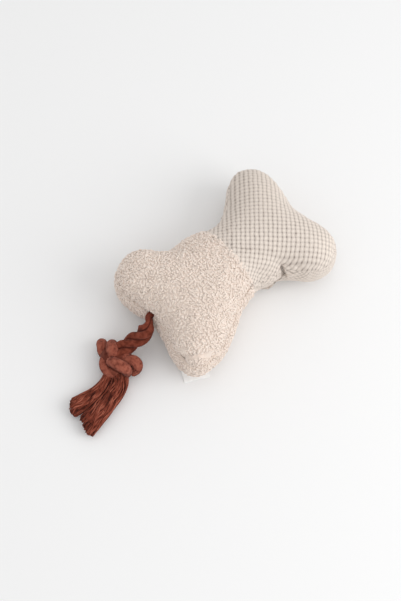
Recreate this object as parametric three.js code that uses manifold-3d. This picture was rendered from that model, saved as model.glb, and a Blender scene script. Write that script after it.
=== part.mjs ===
// A bone-shaped stuffed dog toy with a squeaker inside and a knotted cotton rope at one end.
// One end of the cover is fleece and the other is woven cloth. Each has an upper and a lower panel.
// Millimetres. X runs from the rope end to the woven end, Y runs across, and Z is up from the floor.
import * as THREE from "three";
import { mergeVertices } from "three/addons/utils/BufferGeometryUtils.js";
import Module from "manifold-3d";

const wasm = await Module();
wasm.setup();

// Cover: the outline is that of the seam that joins the upper panels to the lower ones.
const halfLength = 80;
const halfWidth = 57;
const thickness = 55;
const seamHeight = 31;
const rimRounding = 30;
const upperBulge = 1.2;
const lowerBulge = 8;
const floorPress = 2.5;
const crossSeamX = 5;
const fleeceWall = 4;
const wovenWall = 2.5;

// Clearances between pieces that touch on the real toy.
const seamGap = 0.3;
const softGap = 0.4;
const overrun = 20;

// Sewing thread, and its clearance to the cover and the fill.
const threadRadius = 0.5;
const threadGap = 0.65;

// Rope: it leaves the cover in the seam, in the notch between the two fleece lobes.
const ropeRadius = 6;
const ropeExit = { x: -70, y: 3.9, z: 27 };
const ropeHoleDepth = 30;
const stopKnotRadius = 8;
const stopKnotWidth = 12;
const stopKnotOffset = 16.5;
const knotStrandRadius = 4.2;
const knotCoreRadius = 10;
const knotSwing = 20;
const knotShoulder = 12;
const knotShoulderGap = 3;

// Squeaker: a bellows between a base and a cap, with a reed in the middle of the base.
const squeakerX = -24;
const squeakerY = 0;
const squeakerFloor = 14;
const squeakerRadius = 20;
const squeakerDisc = 2.5;
const capDome = 1.4;
const capDomeRadius = 14;
const bellowsHeight = 16;
const bellowsFolds = 3;
const bellowsDepth = 3;
const bellowsWall = 1.2;
const reedRadius = 4;
const reedWall = 1;
const reedLength = 10;
const reedFlangeRadius = 5.6;
const reedFlange = 1;
const reedRise = 9;
const shallotRadius = 2.7;
const shallotFace = 0.3;
const tongueWidth = 3.6;
const tongueLength = 7.6;
const tongueThickness = 0.3;

// Filling: where the handfuls of fill meet, the last as a drop below the seam.
const fleeceLobeX = -46;
const wovenLobeX = 42;
const fillSplitDrop = 2;

// Label: blank, under the near fleece lobe, with its outer edge just in sight. Its place is a share
// of the way round the seam.
const labelWidth = 20;
const labelLength = 10;
const labelThickness = 0.5;
const labelPlaceShare = 0.6;
const labelTuck = 2.3;

// How finely the curved faces are made.
const rimSteps = 54;
const rings = 7;
const ringPull = 0.6;
const roundSteps = 20;

const colours = {
  fleece: { color: 0xe3d5c8, roughness: 0.95, metalness: 0 },
  woven: { color: 0xd9cec3, roughness: 0.85, metalness: 0 },
  fill: { color: 0xf4f2ee, roughness: 0.95, metalness: 0 },
  thread: { color: 0xe9dfd4, roughness: 0.7, metalness: 0 },
  rope: { color: 0x8a4a38, roughness: 0.9, metalness: 0 },
  label: { color: 0xf8f8f6, roughness: 0.7, metalness: 0 },
  squeaker: { color: 0xe8ecec, roughness: 0.4, metalness: 0 },
  reed: { color: 0xd8d2c4, roughness: 0.45, metalness: 0 },
};

// Points of the seam outline, as shares of the half length and half width, from the woven end's
// notch round the far side, past the rope and back along the near side.
const outlineShares = [
  [0.9, -0.05],
  [0.935, 0.14],
  [0.965, 0.34],
  [0.965, 0.54],
  [0.92, 0.71],
  [0.84, 0.815],
  [0.725, 0.88],
  [0.61, 0.82],
  [0.515, 0.71],
  [0.385, 0.56],
  [0.27, 0.49],
  [0.13, 0.48],
  [0, 0.555],
  [-0.13, 0.605],
  [-0.28, 0.61],
  [-0.375, 0.65],
  [-0.43, 0.77],
  [-0.5, 0.875],
  [-0.62, 0.94],
  [-0.74, 0.93],
  [-0.86, 0.825],
  [-0.925, 0.66],
  [-0.935, 0.49],
  [-0.91, 0.28],
  [-0.87, 0.03],
  [-0.895, -0.2],
  [-0.945, -0.4],
  [-0.98, -0.62],
  [-0.965, -0.79],
  [-0.9, -0.895],
  [-0.78, -0.92],
  [-0.625, -0.91],
  [-0.46, -0.82],
  [-0.3, -0.7],
  [-0.17, -0.595],
  [-0.02, -0.54],
  [0.12, -0.52],
  [0.25, -0.585],
  [0.345, -0.61],
  [0.425, -0.73],
  [0.505, -0.87],
  [0.61, -0.96],
  [0.75, -0.985],
  [0.865, -0.915],
  [0.94, -0.81],
  [0.965, -0.665],
  [0.955, -0.49],
  [0.925, -0.32],
];

// The rope's middle line, from the point where it pivots at the cover to where it enters the knot.
const ropeRoute = [
  [-76.3, 3.9, 27],
  [-79.4, 2.6, 22.6],
  [-84.6, 2.6, 18.8],
  [-92, 3.5, 16.2],
  [-100, 4.3, 15.5],
];
// The strands of the knot that show, each as its own run of points.
const knotStrands = [
  [[-105.5, 22, 5], [-107.2, 19.7, 10], [-109.1, 17, 12.8], [-110.5, 14.8, 11.5], [-110.5, 14.2, 6]],
  [[-101.6, 14.6, 8], [-103.3, 11.9, 14.5], [-105.9, 8.1, 18.8], [-107.9, 4.9, 18.3], [-108.8, 2.6, 12]],
  [[-98.2, 1.6, 14.8], [-100.6, 0.4, 16.8], [-103, -1.4, 16.5], [-105.4, -2.2, 10]],
  [[-105.6, -3.5, 12], [-102.8, -5.8, 16], [-99.6, -8.9, 17], [-98.9, -12, 14.4], [-100.6, -12.9, 9.5], [-104, -11.6, 6]],
  [[-113.3, 2.4, 11.5], [-112.1, -1.3, 18], [-110.9, -6.6, 20.6], [-109.5, -10.8, 19.2], [-108.4, -12.4, 14], [-108.6, -11.2, 7.5]],
  [[-109.2, 11, 7], [-113.5, 8.3, 11], [-116.7, 5.2, 12.3], [-118.2, 1.3, 12.3], [-117.1, -3, 11.3], [-113.4, -6.4, 9], [-108.6, -9.2, 7]],
  [[-103, -6.4, 4.6], [-99.2, 0, 4.6], [-99.2, 8, 4.6], [-102.4, 14.4, 4.6], [-107.2, 19.2, 4.4]],
];
const knotCore = [-108.5, 2.5, 10.4];
// The two frayed tails, each point with its half width and half height.
const rightTail = [
  [-112.4, -7.6, 8.6, 6.4, 5],
  [-116.6, -12, 8.4, 7, 5.6],
  [-123.1, -15.5, 8, 7.2, 5.6],
  [-132.6, -17.8, 7.4, 7.3, 5.6],
  [-142.4, -19.4, 6.9, 7.8, 5.4],
  [-152.2, -20.4, 6.2, 8.5, 5],
  [-160.4, -21, 5.2, 9.3, 4.4],
];
const leftTail = [
  [-117.7, -1.6, 7.8, 4.4, 5],
  [-124, -4.5, 7.6, 4.6, 5.2],
  [-131.3, -6.2, 7, 5.4, 5.2],
  [-139.1, -6.3, 6.6, 6.2, 5],
  [-146.3, -4.9, 6.1, 6.9, 4.8],
  [-151.8, -3.6, 5.6, 7.5, 4.5],
  [-157.8, -2.4, 5, 8, 4.2],
];
const tailSides = 12;

// A closed solid from a geometry, with its shared vertices merged.
function solid(geometry) {
  const bare = geometry.clone();
  bare.deleteAttribute("normal");
  bare.deleteAttribute("uv");
  const merged = mergeVertices(bare, 1e-4);
  const mesh = new wasm.Mesh({
    numProp: 3,
    vertProperties: merged.attributes.position.array,
    triVerts: new Uint32Array(merged.index.array),
  });
  return new wasm.Manifold(mesh);
}

// A named mesh from a closed solid.
function part(name, body, finish) {
  const made = body.getMesh();
  const geometry = new THREE.BufferGeometry();
  geometry.setAttribute("position", new THREE.BufferAttribute(made.vertProperties, 3));
  geometry.setIndex(new THREE.BufferAttribute(made.triVerts, 1));
  geometry.computeVertexNormals();
  const mesh = new THREE.Mesh(geometry, new THREE.MeshStandardMaterial(finish));
  mesh.name = name;
  return mesh;
}

// A box between two corners.
function block(low, high) {
  const geometry = new THREE.BoxGeometry(high[0] - low[0], high[1] - low[1], high[2] - low[2]);
  geometry.translate((low[0] + high[0]) / 2, (low[1] + high[1]) / 2, (low[2] + high[2]) / 2);
  return solid(geometry);
}

// A solid of revolution about the vertical line through x and y.
function turned(profile, x, y, steps = roundSteps) {
  const points = profile.map(([r, z]) => new THREE.Vector2(r, z));
  const geometry = new THREE.LatheGeometry(points, steps);
  geometry.rotateX(Math.PI / 2);
  geometry.translate(x, y, 0);
  return solid(geometry);
}

// A round bar of one radius along a list of points.
function bar(points, radius, steps, sides) {
  const route = new THREE.CatmullRomCurve3(points, false, "centripetal");
  const section = new THREE.Shape();
  for (let i = 0; i < sides; i++) {
    const angle = (2 * Math.PI * i) / sides;
    if (i === 0) section.moveTo(radius * Math.cos(angle), radius * Math.sin(angle));
    else section.lineTo(radius * Math.cos(angle), radius * Math.sin(angle));
  }
  const geometry = new THREE.ExtrudeGeometry(section, { steps, extrudePath: route });
  return solid(geometry);
}

function ball(centre, radius, steps = 16) {
  const geometry = new THREE.SphereGeometry(radius, steps, steps / 2);
  geometry.translate(...centre);
  return solid(geometry);
}

// The closed seam outline, moved so that the middle of its length and width is at zero.
function seamOutline() {
  const points = outlineShares.map(
    ([along, across]) => new THREE.Vector3(along * halfLength, across * halfWidth, 0),
  );
  const curve = new THREE.CatmullRomCurve3(points, true, "centripetal");
  const rim = curve.getSpacedPoints(rimSteps).slice(0, rimSteps);
  const normals = rim.map((point, i) => {
    const next = rim[(i + 1) % rimSteps];
    const last = rim[(i + rimSteps - 1) % rimSteps];
    return new THREE.Vector3(next.y - last.y, last.x - next.x, 0).normalize();
  });
  // The lower bulge is the widest part of the cover, so the middle is that of the bulged rim.
  const box = new THREE.Box3();
  rim.forEach((point, i) => {
    const outward = lowerBulge - (point.x > crossSeamX ? fleeceWall - wovenWall : 0);
    box.expandByPoint(point.clone().addScaledVector(normals[i], outward));
  });
  const middle = box.getCenter(new THREE.Vector3());
  rim.forEach((point) => point.sub(middle));
  return { rim, normals };
}
const seam = seamOutline();

// How far a place in plan lies inside the seam outline.
function depthInside(x, y) {
  let least = Infinity;
  for (let i = 0; i < rimSteps; i++) {
    const a = seam.rim[i];
    const b = seam.rim[(i + 1) % rimSteps];
    const run = (b.x - a.x) ** 2 + (b.y - a.y) ** 2;
    const along = THREE.MathUtils.clamp(((x - a.x) * (b.x - a.x) + (y - a.y) * (b.y - a.y)) / run, 0, 1);
    const near = Math.hypot(x - a.x - along * (b.x - a.x), y - a.y - along * (b.y - a.y));
    least = Math.min(least, near);
  }
  return least;
}

// The share of its full height that the cover has reached at a depth inside the outline.
function riseShare(depth) {
  const left = 1 - THREE.MathUtils.clamp(depth / rimRounding, 0, 1);
  return Math.sqrt(1 - left * left);
}

// The share of its full bulge that the cover has at a depth inside the outline.
function bulgeShare(depth) {
  const left = 1 - THREE.MathUtils.clamp(depth / rimRounding, 0, 1);
  return 2 * left * Math.sqrt(1 - left * left);
}

function upperHeight(depth, inset) {
  return seamHeight + (thickness - seamHeight - inset) * riseShare(depth);
}

function lowerHeight(depth, inset, floor) {
  return Math.max(seamHeight - (seamHeight + floorPress - inset) * riseShare(depth), floor);
}

// The pillow that the seam outline bounds, smaller by an inset in plan, above and below, and
// pressed flat on a floor. Rings run inwards from the rim on both faces, slower along the length
// than across it, and end in one point.
function pillow({ plan, above, below, floor }) {
  const places = [];
  const faces = [];
  const ringShare = (ring) => 1 - (ring / rings) ** 1.5;
  const corner = (i, ring, upper) => {
    const share = ringShare(ring);
    const edge = seam.rim[i].clone().addScaledVector(seam.normals[i], -plan);
    const x = edge.x * share ** ringPull;
    const y = edge.y * share;
    const depth = ring === 0 ? 0 : Math.max(depthInside(x, y) - plan, 0);
    const bulge = (upper ? upperBulge : lowerBulge) * bulgeShare(depth);
    const z = upper ? upperHeight(depth, above) : lowerHeight(depth, below, floor);
    return [x + seam.normals[i].x * bulge, y + seam.normals[i].y * bulge, z];
  };
  const put = (place) => places.push(place) - 1;
  const rimRing = seam.rim.map((_, i) => put(corner(i, 0, true)));
  for (const upper of [true, false]) {
    let outer = rimRing;
    for (let ring = 1; ring < rings; ring++) {
      const inner = seam.rim.map((_, i) => put(corner(i, ring, upper)));
      for (let i = 0; i < rimSteps; i++) {
        const next = (i + 1) % rimSteps;
        const quad = [outer[i], outer[next], inner[next], inner[i]];
        if (!upper) quad.reverse();
        faces.push([quad[0], quad[1], quad[2]], [quad[0], quad[2], quad[3]]);
      }
      outer = inner;
    }
    const depth = Math.max(depthInside(0, 0) - plan, 0);
    const middle = put([0, 0, upper ? upperHeight(depth, above) : lowerHeight(depth, below, floor)]);
    for (let i = 0; i < rimSteps; i++) {
      const next = (i + 1) % rimSteps;
      faces.push(upper ? [outer[i], outer[next], middle] : [outer[next], outer[i], middle]);
    }
  }
  const geometry = new THREE.BufferGeometry();
  geometry.setAttribute("position", new THREE.Float32BufferAttribute(places.flat(), 3));
  geometry.setIndex(faces.flat());
  return solid(geometry);
}

const farX = halfLength + overrun;
const farY = halfWidth + overrun;
const farZ = thickness + overrun;

// The four cover panels: a fleece pair and a woven pair, with the rope's hole cut in the fleece.
function coverPanels(hollow, ropeHole) {
  const fleece = pillow({ plan: 0, above: 0, below: 0, floor: 0 }).subtract(hollow).subtract(ropeHole);
  const step = fleeceWall - wovenWall;
  const woven = pillow({ plan: step, above: step, below: step, floor: 0 }).subtract(hollow);
  const upper = seamHeight + seamGap / 2;
  const lower = seamHeight - seamGap / 2;
  const left = crossSeamX - seamGap / 2;
  const right = crossSeamX + seamGap / 2;
  const cut = (body, lowX, highX, lowZ, highZ) =>
    body.intersect(block([lowX, -farY, lowZ], [highX, farY, highZ]));
  return [
    part("fleece_panel_top", cut(fleece, -farX, left, upper, farZ), colours.fleece),
    part("fleece_panel_bottom", cut(fleece, -farX, left, -overrun, lower), colours.fleece),
    part("woven_panel_top", cut(woven, right, farX, upper, farZ), colours.woven),
    part("woven_panel_bottom", cut(woven, right, farX, -overrun, lower), colours.woven),
  ];
}

// The thread of the seam between the upper and lower panels. It starts and ends beside the rope.
function perimeterThread() {
  const inset = fleeceWall + threadGap + threadRadius;
  const clear = ropeRadius + softGap + threadRadius + threadGap;
  const line = seam.rim.map((point, i) => point.clone().addScaledVector(seam.normals[i], -inset));
  line.forEach((point) => point.setZ(seamHeight));
  const start = line.findIndex((point) => point.x < 0 && Math.abs(point.y - ropeExit.y) < clear);
  const ordered = [...line.slice(start), ...line.slice(0, start)];
  const kept = ordered.filter((point) => point.x > 0 || Math.abs(point.y - ropeExit.y) > clear);
  return part("perimeter_seam_thread", bar(kept, threadRadius, 2 * rimSteps, 5), colours.thread);
}

// The thread of the seam between the fleece and the woven cloth, a loop round the inside.
function crossThread() {
  const inset = fleeceWall + threadGap + threadRadius;
  const plan = inset + 2 * threadRadius + threadGap;
  const crossing = (sign) => {
    let y = 0;
    while (depthInside(crossSeamX, y) > plan && Math.abs(y) < halfWidth) y += sign * threadRadius * 0.2;
    return y;
  };
  const far = crossing(1);
  const near = crossing(-1);
  const line = [];
  const side = 12;
  for (let i = 0; i <= 2 * side; i++) {
    const angle = Math.PI / 2 + (Math.PI * i) / side;
    const y = (far + near) / 2 + ((far - near) / 2) * Math.sin(angle);
    const depth = Math.max(depthInside(crossSeamX, y) - plan, 0);
    const upper = i <= side;
    const z = upper ? upperHeight(depth, inset) : lowerHeight(depth, inset, inset);
    line.push(new THREE.Vector3(crossSeamX, y, z));
  }
  // The two ends of the thread stay a little apart.
  line[2 * side].z -= 2 * threadRadius;
  line[0].z += 2 * threadRadius;
  return part("cross_seam_thread", bar(line, threadRadius, 4 * side, 5), colours.thread);
}

// Handfuls of fill: an upper and a lower one round the squeaker, one in the woven waist and one in
// each lobe. The squeaker, the rope's inner end and its stop knot have pockets.
function filling(ropeHole) {
  const threadRoom = 2 * threadRadius + 2 * threadGap;
  const plan = fleeceWall + threadRoom;
  const height = fleeceWall + softGap;
  const whole = pillow({ plan, above: height, below: height, floor: height });
  const pocket = turned(
    [
      [0, squeakerFloor - reedFlange - 2 * softGap],
      [squeakerRadius + 2 * softGap, squeakerFloor - reedFlange - 2 * softGap],
      [squeakerRadius + 2 * softGap, squeakerTop + softGap],
      [0, squeakerTop + softGap],
    ],
    squeakerX,
    squeakerY,
  );
  const stopPocket = stopKnot(softGap);
  const carved = whole.subtract(pocket).subtract(ropeHole).subtract(stopPocket);
  const half = softGap / 2;
  const slot = threadRoom / 2;
  const cut = (low, high) => carved.intersect(block(low, high));
  const fill = (name, low, high) => part(name, cut(low, high), colours.fill);
  const coreLow = fleeceLobeX + half;
  const coreHigh = crossSeamX - slot;
  const split = seamHeight - fillSplitDrop;
  return [
    fill("fill_core_upper", [coreLow, -farY, split + half], [coreHigh, farY, farZ]),
    fill("fill_core_lower", [coreLow, -farY, 0], [coreHigh, farY, split - half]),
    fill("fill_woven_waist", [crossSeamX + slot, -farY, 0], [wovenLobeX - half, farY, farZ]),
    fill("fill_fleece_lobe_far", [-farX, ropeExit.y + half, 0], [fleeceLobeX - half, farY, farZ]),
    fill("fill_fleece_lobe_near", [-farX, -farY, 0], [fleeceLobeX - half, ropeExit.y - half, farZ]),
    fill("fill_woven_lobe_far", [wovenLobeX + half, half, 0], [farX, farY, farZ]),
    fill("fill_woven_lobe_near", [wovenLobeX + half, -farY, 0], [farX, -half, farZ]),
  ];
}

// Squeaker: base, bellows, cap, and the reed that sounds when air goes through it.
const bellowsFloor = squeakerFloor + squeakerDisc + seamGap;
const capFloor = bellowsFloor + bellowsHeight + seamGap;
const squeakerTop = capFloor + squeakerDisc + capDome;

function squeaker() {
  const bore = reedRadius + seamGap;
  const base = turned(
    [
      [bore, squeakerFloor],
      [squeakerRadius, squeakerFloor],
      [squeakerRadius, squeakerFloor + squeakerDisc],
      [bore, squeakerFloor + squeakerDisc],
      [bore, squeakerFloor],
    ],
    squeakerX,
    squeakerY,
  );
  const cap = turned(
    [
      [0, capFloor],
      [squeakerRadius, capFloor],
      [squeakerRadius, capFloor + squeakerDisc],
      [capDomeRadius, capFloor + squeakerDisc],
      [0, squeakerTop],
    ],
    squeakerX,
    squeakerY,
  );
  // The wall goes in and out once for each fold, first up the outside and then down the inside.
  const folds = 2 * bellowsFolds;
  const outside = [];
  const inside = [];
  for (let i = 0; i <= folds; i++) {
    const z = bellowsFloor + (bellowsHeight * i) / folds;
    const r = squeakerRadius - (i % 2 ? bellowsDepth : 0);
    outside.push([r, z]);
    inside.unshift([r - bellowsWall, z]);
  }
  const bellows = turned([...outside, ...inside, outside[0]], squeakerX, squeakerY);
  return [
    part("squeaker_base", base, colours.squeaker),
    part("squeaker_bellows", bellows, colours.squeaker),
    part("squeaker_cap", cap, colours.squeaker),
  ];
}

function reed() {
  const foot = squeakerFloor - seamGap - reedFlange;
  const barrel = turned(
    [
      [reedRadius - reedWall, foot],
      [reedFlangeRadius, foot],
      [reedFlangeRadius, foot + reedFlange],
      [reedRadius, foot + reedFlange],
      [reedRadius, foot + reedLength],
      [reedRadius - reedWall, foot + reedLength],
      [reedRadius - reedWall, foot],
    ],
    squeakerX,
    squeakerY,
    16,
  );
  // The shallot is a half round plug, and the tongue lies along its flat face.
  const plug = turned(
    [
      [0, foot],
      [shallotRadius, foot],
      [shallotRadius, foot + reedRise],
      [0, foot + reedRise],
    ],
    squeakerX,
    squeakerY,
    16,
  );
  const shallot = plug.intersect(
    block(
      [squeakerX - reedRadius, squeakerY - reedRadius, foot - overrun],
      [squeakerX - shallotFace, squeakerY + reedRadius, foot + reedRise + overrun],
    ),
  );
  const tongue = new THREE.BoxGeometry(tongueThickness, tongueWidth, tongueLength);
  const tongueX = squeakerX - shallotFace + seamGap + tongueThickness / 2;
  tongue.translate(tongueX, squeakerY, foot + (reedRise - tongueLength) + tongueLength / 2);
  return [
    part("reed_barrel", barrel, colours.reed),
    part("reed_shallot", shallot, colours.reed),
    part("reed_tongue", solid(tongue), colours.reed),
  ];
}

// The stop knot that keeps the rope from pulling out, larger all round by a clearance.
function stopKnot(clearance) {
  const geometry = new THREE.SphereGeometry(1, 16, 10);
  const radius = stopKnotRadius + clearance;
  geometry.scale(radius, stopKnotWidth / 2 + radius / 2, radius);
  geometry.translate(ropeExit.x + stopKnotOffset, ropeExit.y, ropeExit.z);
  return solid(geometry);
}

// A straight round bar along X at the height of the rope's exit.
function levelBar(fromX, toX, radius) {
  const ends = [fromX, toX].map((x) => new THREE.Vector3(x, ropeExit.y, ropeExit.z));
  return bar(ends, radius, 1, 12);
}

function innerRope() {
  const start = ropeExit.x + stopKnotOffset - stopKnotRadius - seamGap;
  return [
    part("rope_inner_end", levelBar(start, ropeExit.x, ropeRadius), colours.rope),
    part("rope_stop_knot", stopKnot(0), colours.rope),
  ];
}

// The free stretch of the rope, with a round end at the cover and one in the knot.
function ropeStretch() {
  const points = ropeRoute.map((place) => new THREE.Vector3(...place));
  const ends = [ropeRoute[0], ropeRoute[ropeRoute.length - 1]];
  const body = ends.reduce(
    (whole, end) => whole.add(ball(end, ropeRadius, roundSteps / 2)),
    bar(points, ropeRadius, 8, 12),
  );
  return part("rope_stretch", body, colours.rope);
}

// The knot's strands joined over its core, all thicker by a clearance.
function knotBody(clearance) {
  const strands = knotStrands.map((strand) =>
    bar(strand.map((place) => new THREE.Vector3(...place)), knotStrandRadius + clearance, 9, 8),
  );
  const core = ball(knotCore, knotCoreRadius + clearance, 12);
  return strands.reduce((whole, strand) => whole.add(strand), core);
}

// The knot, cut back so that it can swing on the round end of the rope. Its near shoulder stands
// beside the rope, clear of it by a gap.
function ropeKnot() {
  const entry = ropeRoute[ropeRoute.length - 1];
  const socket = ball(entry, ropeRadius + softGap, roundSteps);
  const swing = THREE.MathUtils.degToRad(90 - knotSwing);
  const face = entry[0] - ropeRadius * Math.cos(swing);
  const back = knotCore[0] - 2 * overrun;
  const beside = entry[1] - ropeRadius - knotShoulderGap;
  const shoulder = block([back, -farY, 0], [face + knotShoulder, beside, farZ]);
  const kept = block([back, -farY, 0], [face, farY, farZ]).add(shoulder);
  return part("rope_knot", knotBody(0).subtract(socket).intersect(kept), colours.rope);
}

// A frayed tail: oval rings along its points, flat at each end and thicker by a clearance.
function tailBody(points, clearance) {
  const places = [];
  const faces = [];
  const steps = 3 * (points.length - 1);
  const route = new THREE.CatmullRomCurve3(points.map(([x, y, z]) => new THREE.Vector3(x, y, z)));
  for (let i = 0; i <= steps; i++) {
    const share = i / steps;
    const at = share * (points.length - 1);
    const from = points[Math.min(Math.floor(at), points.length - 2)];
    const to = points[Math.min(Math.floor(at), points.length - 2) + 1];
    const between = at - Math.min(Math.floor(at), points.length - 2);
    const halfWide = THREE.MathUtils.lerp(from[3], to[3], between) + clearance;
    const halfHigh = THREE.MathUtils.lerp(from[4], to[4], between) + clearance;
    const middle = route.getPoint(share);
    const ahead = route.getTangent(share).setZ(0).normalize();
    for (let side = 0; side < tailSides; side++) {
      const angle = (2 * Math.PI * side) / tailSides;
      const across = halfWide * Math.cos(angle);
      places.push([
        middle.x - ahead.y * across,
        middle.y + ahead.x * across,
        middle.z + halfHigh * Math.sin(angle),
      ]);
    }
  }
  for (let i = 0; i < steps; i++) {
    for (let side = 0; side < tailSides; side++) {
      const next = (side + 1) % tailSides;
      const quad = [i, i, i + 1, i + 1].map((ring) => ring * tailSides);
      const [a, b, c, d] = [quad[0] + side, quad[1] + next, quad[2] + next, quad[3] + side];
      faces.push([a, b, c], [a, c, d]);
    }
  }
  for (let side = 1; side < tailSides - 1; side++) {
    faces.push([0, side + 1, side]);
    const last = steps * tailSides;
    faces.push([last, last + side, last + side + 1]);
  }
  const geometry = new THREE.BufferGeometry();
  geometry.setAttribute("position", new THREE.Float32BufferAttribute(places.flat(), 3));
  geometry.setIndex(faces.flat());
  return solid(geometry);
}

function tails() {
  const room = knotBody(seamGap);
  const right = tailBody(rightTail, 0).subtract(room);
  const left = tailBody(leftTail, 0).subtract(room).subtract(tailBody(rightTail, seamGap));
  return [part("rope_tail_right", right, colours.rope), part("rope_tail_left", left, colours.rope)];
}

// The blank label, a strip of tape that lies under the edge of the near fleece lobe, in line with
// the seam above it. Its inner edge is tucked in past the line where the cover comes down on it.
function label() {
  const at = Math.round(labelPlaceShare * rimSteps);
  const edge = seam.rim[at];
  const out = seam.normals[at];
  const top = seamGap + labelThickness;
  const rise = (seamHeight - top - seamGap) / (seamHeight + floorPress);
  const left = Math.sqrt(1 - rise * rise);
  const inner = rimRounding * (1 - left) - lowerBulge * 2 * left * rise + labelTuck;
  const inward = inner - labelLength / 2;
  const tape = new THREE.BoxGeometry(labelWidth, labelLength, labelThickness);
  tape.rotateZ(Math.atan2(-out.x, out.y));
  tape.translate(edge.x - out.x * inward, edge.y - out.y * inward, top - labelThickness / 2);
  return part("sewn_label", solid(tape), colours.label);
}

const hollow = pillow({ plan: fleeceWall, above: fleeceWall, below: fleeceWall, floor: fleeceWall });
const ropeHole = levelBar(ropeExit.x - overrun, ropeExit.x + ropeHoleDepth, ropeRadius + softGap);

const toy = new THREE.Group();
toy.add(...coverPanels(hollow, ropeHole));
toy.add(perimeterThread(), crossThread(), label());
toy.add(...filling(ropeHole));
toy.add(...squeaker(), ...reed());
toy.add(...innerRope());
toy.add(ropeStretch(), ropeKnot(), ...tails());

export default toy;
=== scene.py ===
import math

import bpy
import numpy as np
from mathutils import Matrix, Vector


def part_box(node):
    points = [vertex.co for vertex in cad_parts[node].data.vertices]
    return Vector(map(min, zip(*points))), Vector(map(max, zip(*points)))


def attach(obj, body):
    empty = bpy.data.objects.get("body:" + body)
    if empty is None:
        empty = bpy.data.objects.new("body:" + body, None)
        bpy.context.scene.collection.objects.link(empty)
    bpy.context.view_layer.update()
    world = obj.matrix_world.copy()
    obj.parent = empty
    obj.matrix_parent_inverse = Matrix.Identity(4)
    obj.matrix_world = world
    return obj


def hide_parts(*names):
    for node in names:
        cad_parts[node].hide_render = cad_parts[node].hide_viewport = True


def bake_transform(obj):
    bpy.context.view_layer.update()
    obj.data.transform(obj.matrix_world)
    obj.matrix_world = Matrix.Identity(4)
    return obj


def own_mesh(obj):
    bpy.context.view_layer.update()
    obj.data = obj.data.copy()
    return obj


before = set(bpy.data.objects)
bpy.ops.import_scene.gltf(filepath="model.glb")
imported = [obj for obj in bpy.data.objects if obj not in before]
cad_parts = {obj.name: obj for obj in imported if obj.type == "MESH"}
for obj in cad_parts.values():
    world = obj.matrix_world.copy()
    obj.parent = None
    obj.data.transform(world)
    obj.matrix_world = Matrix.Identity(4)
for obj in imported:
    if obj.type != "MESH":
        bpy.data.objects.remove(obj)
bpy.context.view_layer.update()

bl_info = {
    "name": "Bone Dog Toy",
    "version": (1, 0, 0),
    "blender": (4, 5, 0),
    "location": "3D View > Sidebar > Dog Toy",
    "description": "Dresses a bone-shaped stuffed dog toy with fleece, woven cloth and a knotted rope",
    "category": "Add Mesh",
}

MM = 0.001
SEAM_Z = (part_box("fleece_panel_top")[0][2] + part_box("fleece_panel_bottom")[1][2]) / 2
CROSS_X = (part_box("fleece_panel_top")[1][0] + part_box("woven_panel_top")[0][0]) / 2
TOP_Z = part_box("fleece_panel_top")[1][2]
SEED = 11
# The rim's outward normals are taken over a share of one in this many of its length, each way.
NORMAL_SPAN = 54
# The cover's cloth lies this far inside the stuffed form, is this thick, and lies no lower than this.
INSET = 1.5 * MM
WALL = 1 * MM
LOWEST = 0.05 * MM

# The seam outline in plan, as shares of the half length and half width, from the woven end's notch
# round the far side, past the rope and back along the near side.
OUTLINE_SHARES = (
    (0.9, -0.05), (0.935, 0.14), (0.965, 0.34), (0.965, 0.54), (0.92, 0.71), (0.84, 0.815),
    (0.725, 0.88), (0.61, 0.82), (0.515, 0.71), (0.385, 0.56), (0.27, 0.49), (0.13, 0.48), (0, 0.555),
    (-0.13, 0.605), (-0.28, 0.61), (-0.375, 0.65), (-0.43, 0.77), (-0.5, 0.875), (-0.62, 0.94),
    (-0.74, 0.93), (-0.86, 0.825), (-0.925, 0.66), (-0.935, 0.49), (-0.91, 0.28), (-0.87, 0.03),
    (-0.895, -0.2), (-0.945, -0.4), (-0.98, -0.62), (-0.965, -0.79), (-0.9, -0.895), (-0.78, -0.92),
    (-0.625, -0.91), (-0.46, -0.82), (-0.3, -0.7), (-0.17, -0.595), (-0.02, -0.54), (0.12, -0.52),
    (0.25, -0.585), (0.345, -0.61), (0.425, -0.73), (0.505, -0.87), (0.61, -0.96), (0.75, -0.985),
    (0.865, -0.915), (0.94, -0.81), (0.965, -0.665), (0.955, -0.49), (0.925, -0.32),
)

# The rope's route in millimetres: from the stop knot inside, out of the seam, and into the knot.
ROPE_EXIT = (-70, 3.9, 27)
ROPE_ROUTE = (
    (-47.1, 3.9, 27), (-53.1, 3.9, 27), (-61.1, 4.6, 27.2), (-69.5, 6.2, 28.2), (-73.4, 2.6, 28.6),
    (-77.7, 0.5, 25), (-83.4, 1, 20.2), (-89.4, 2.7, 17.4), (-95, 3.8, 16), (-100, 4.3, 15.5),
    (-106, 3.3, 13), (-111.6, -1, 9),
)
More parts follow.
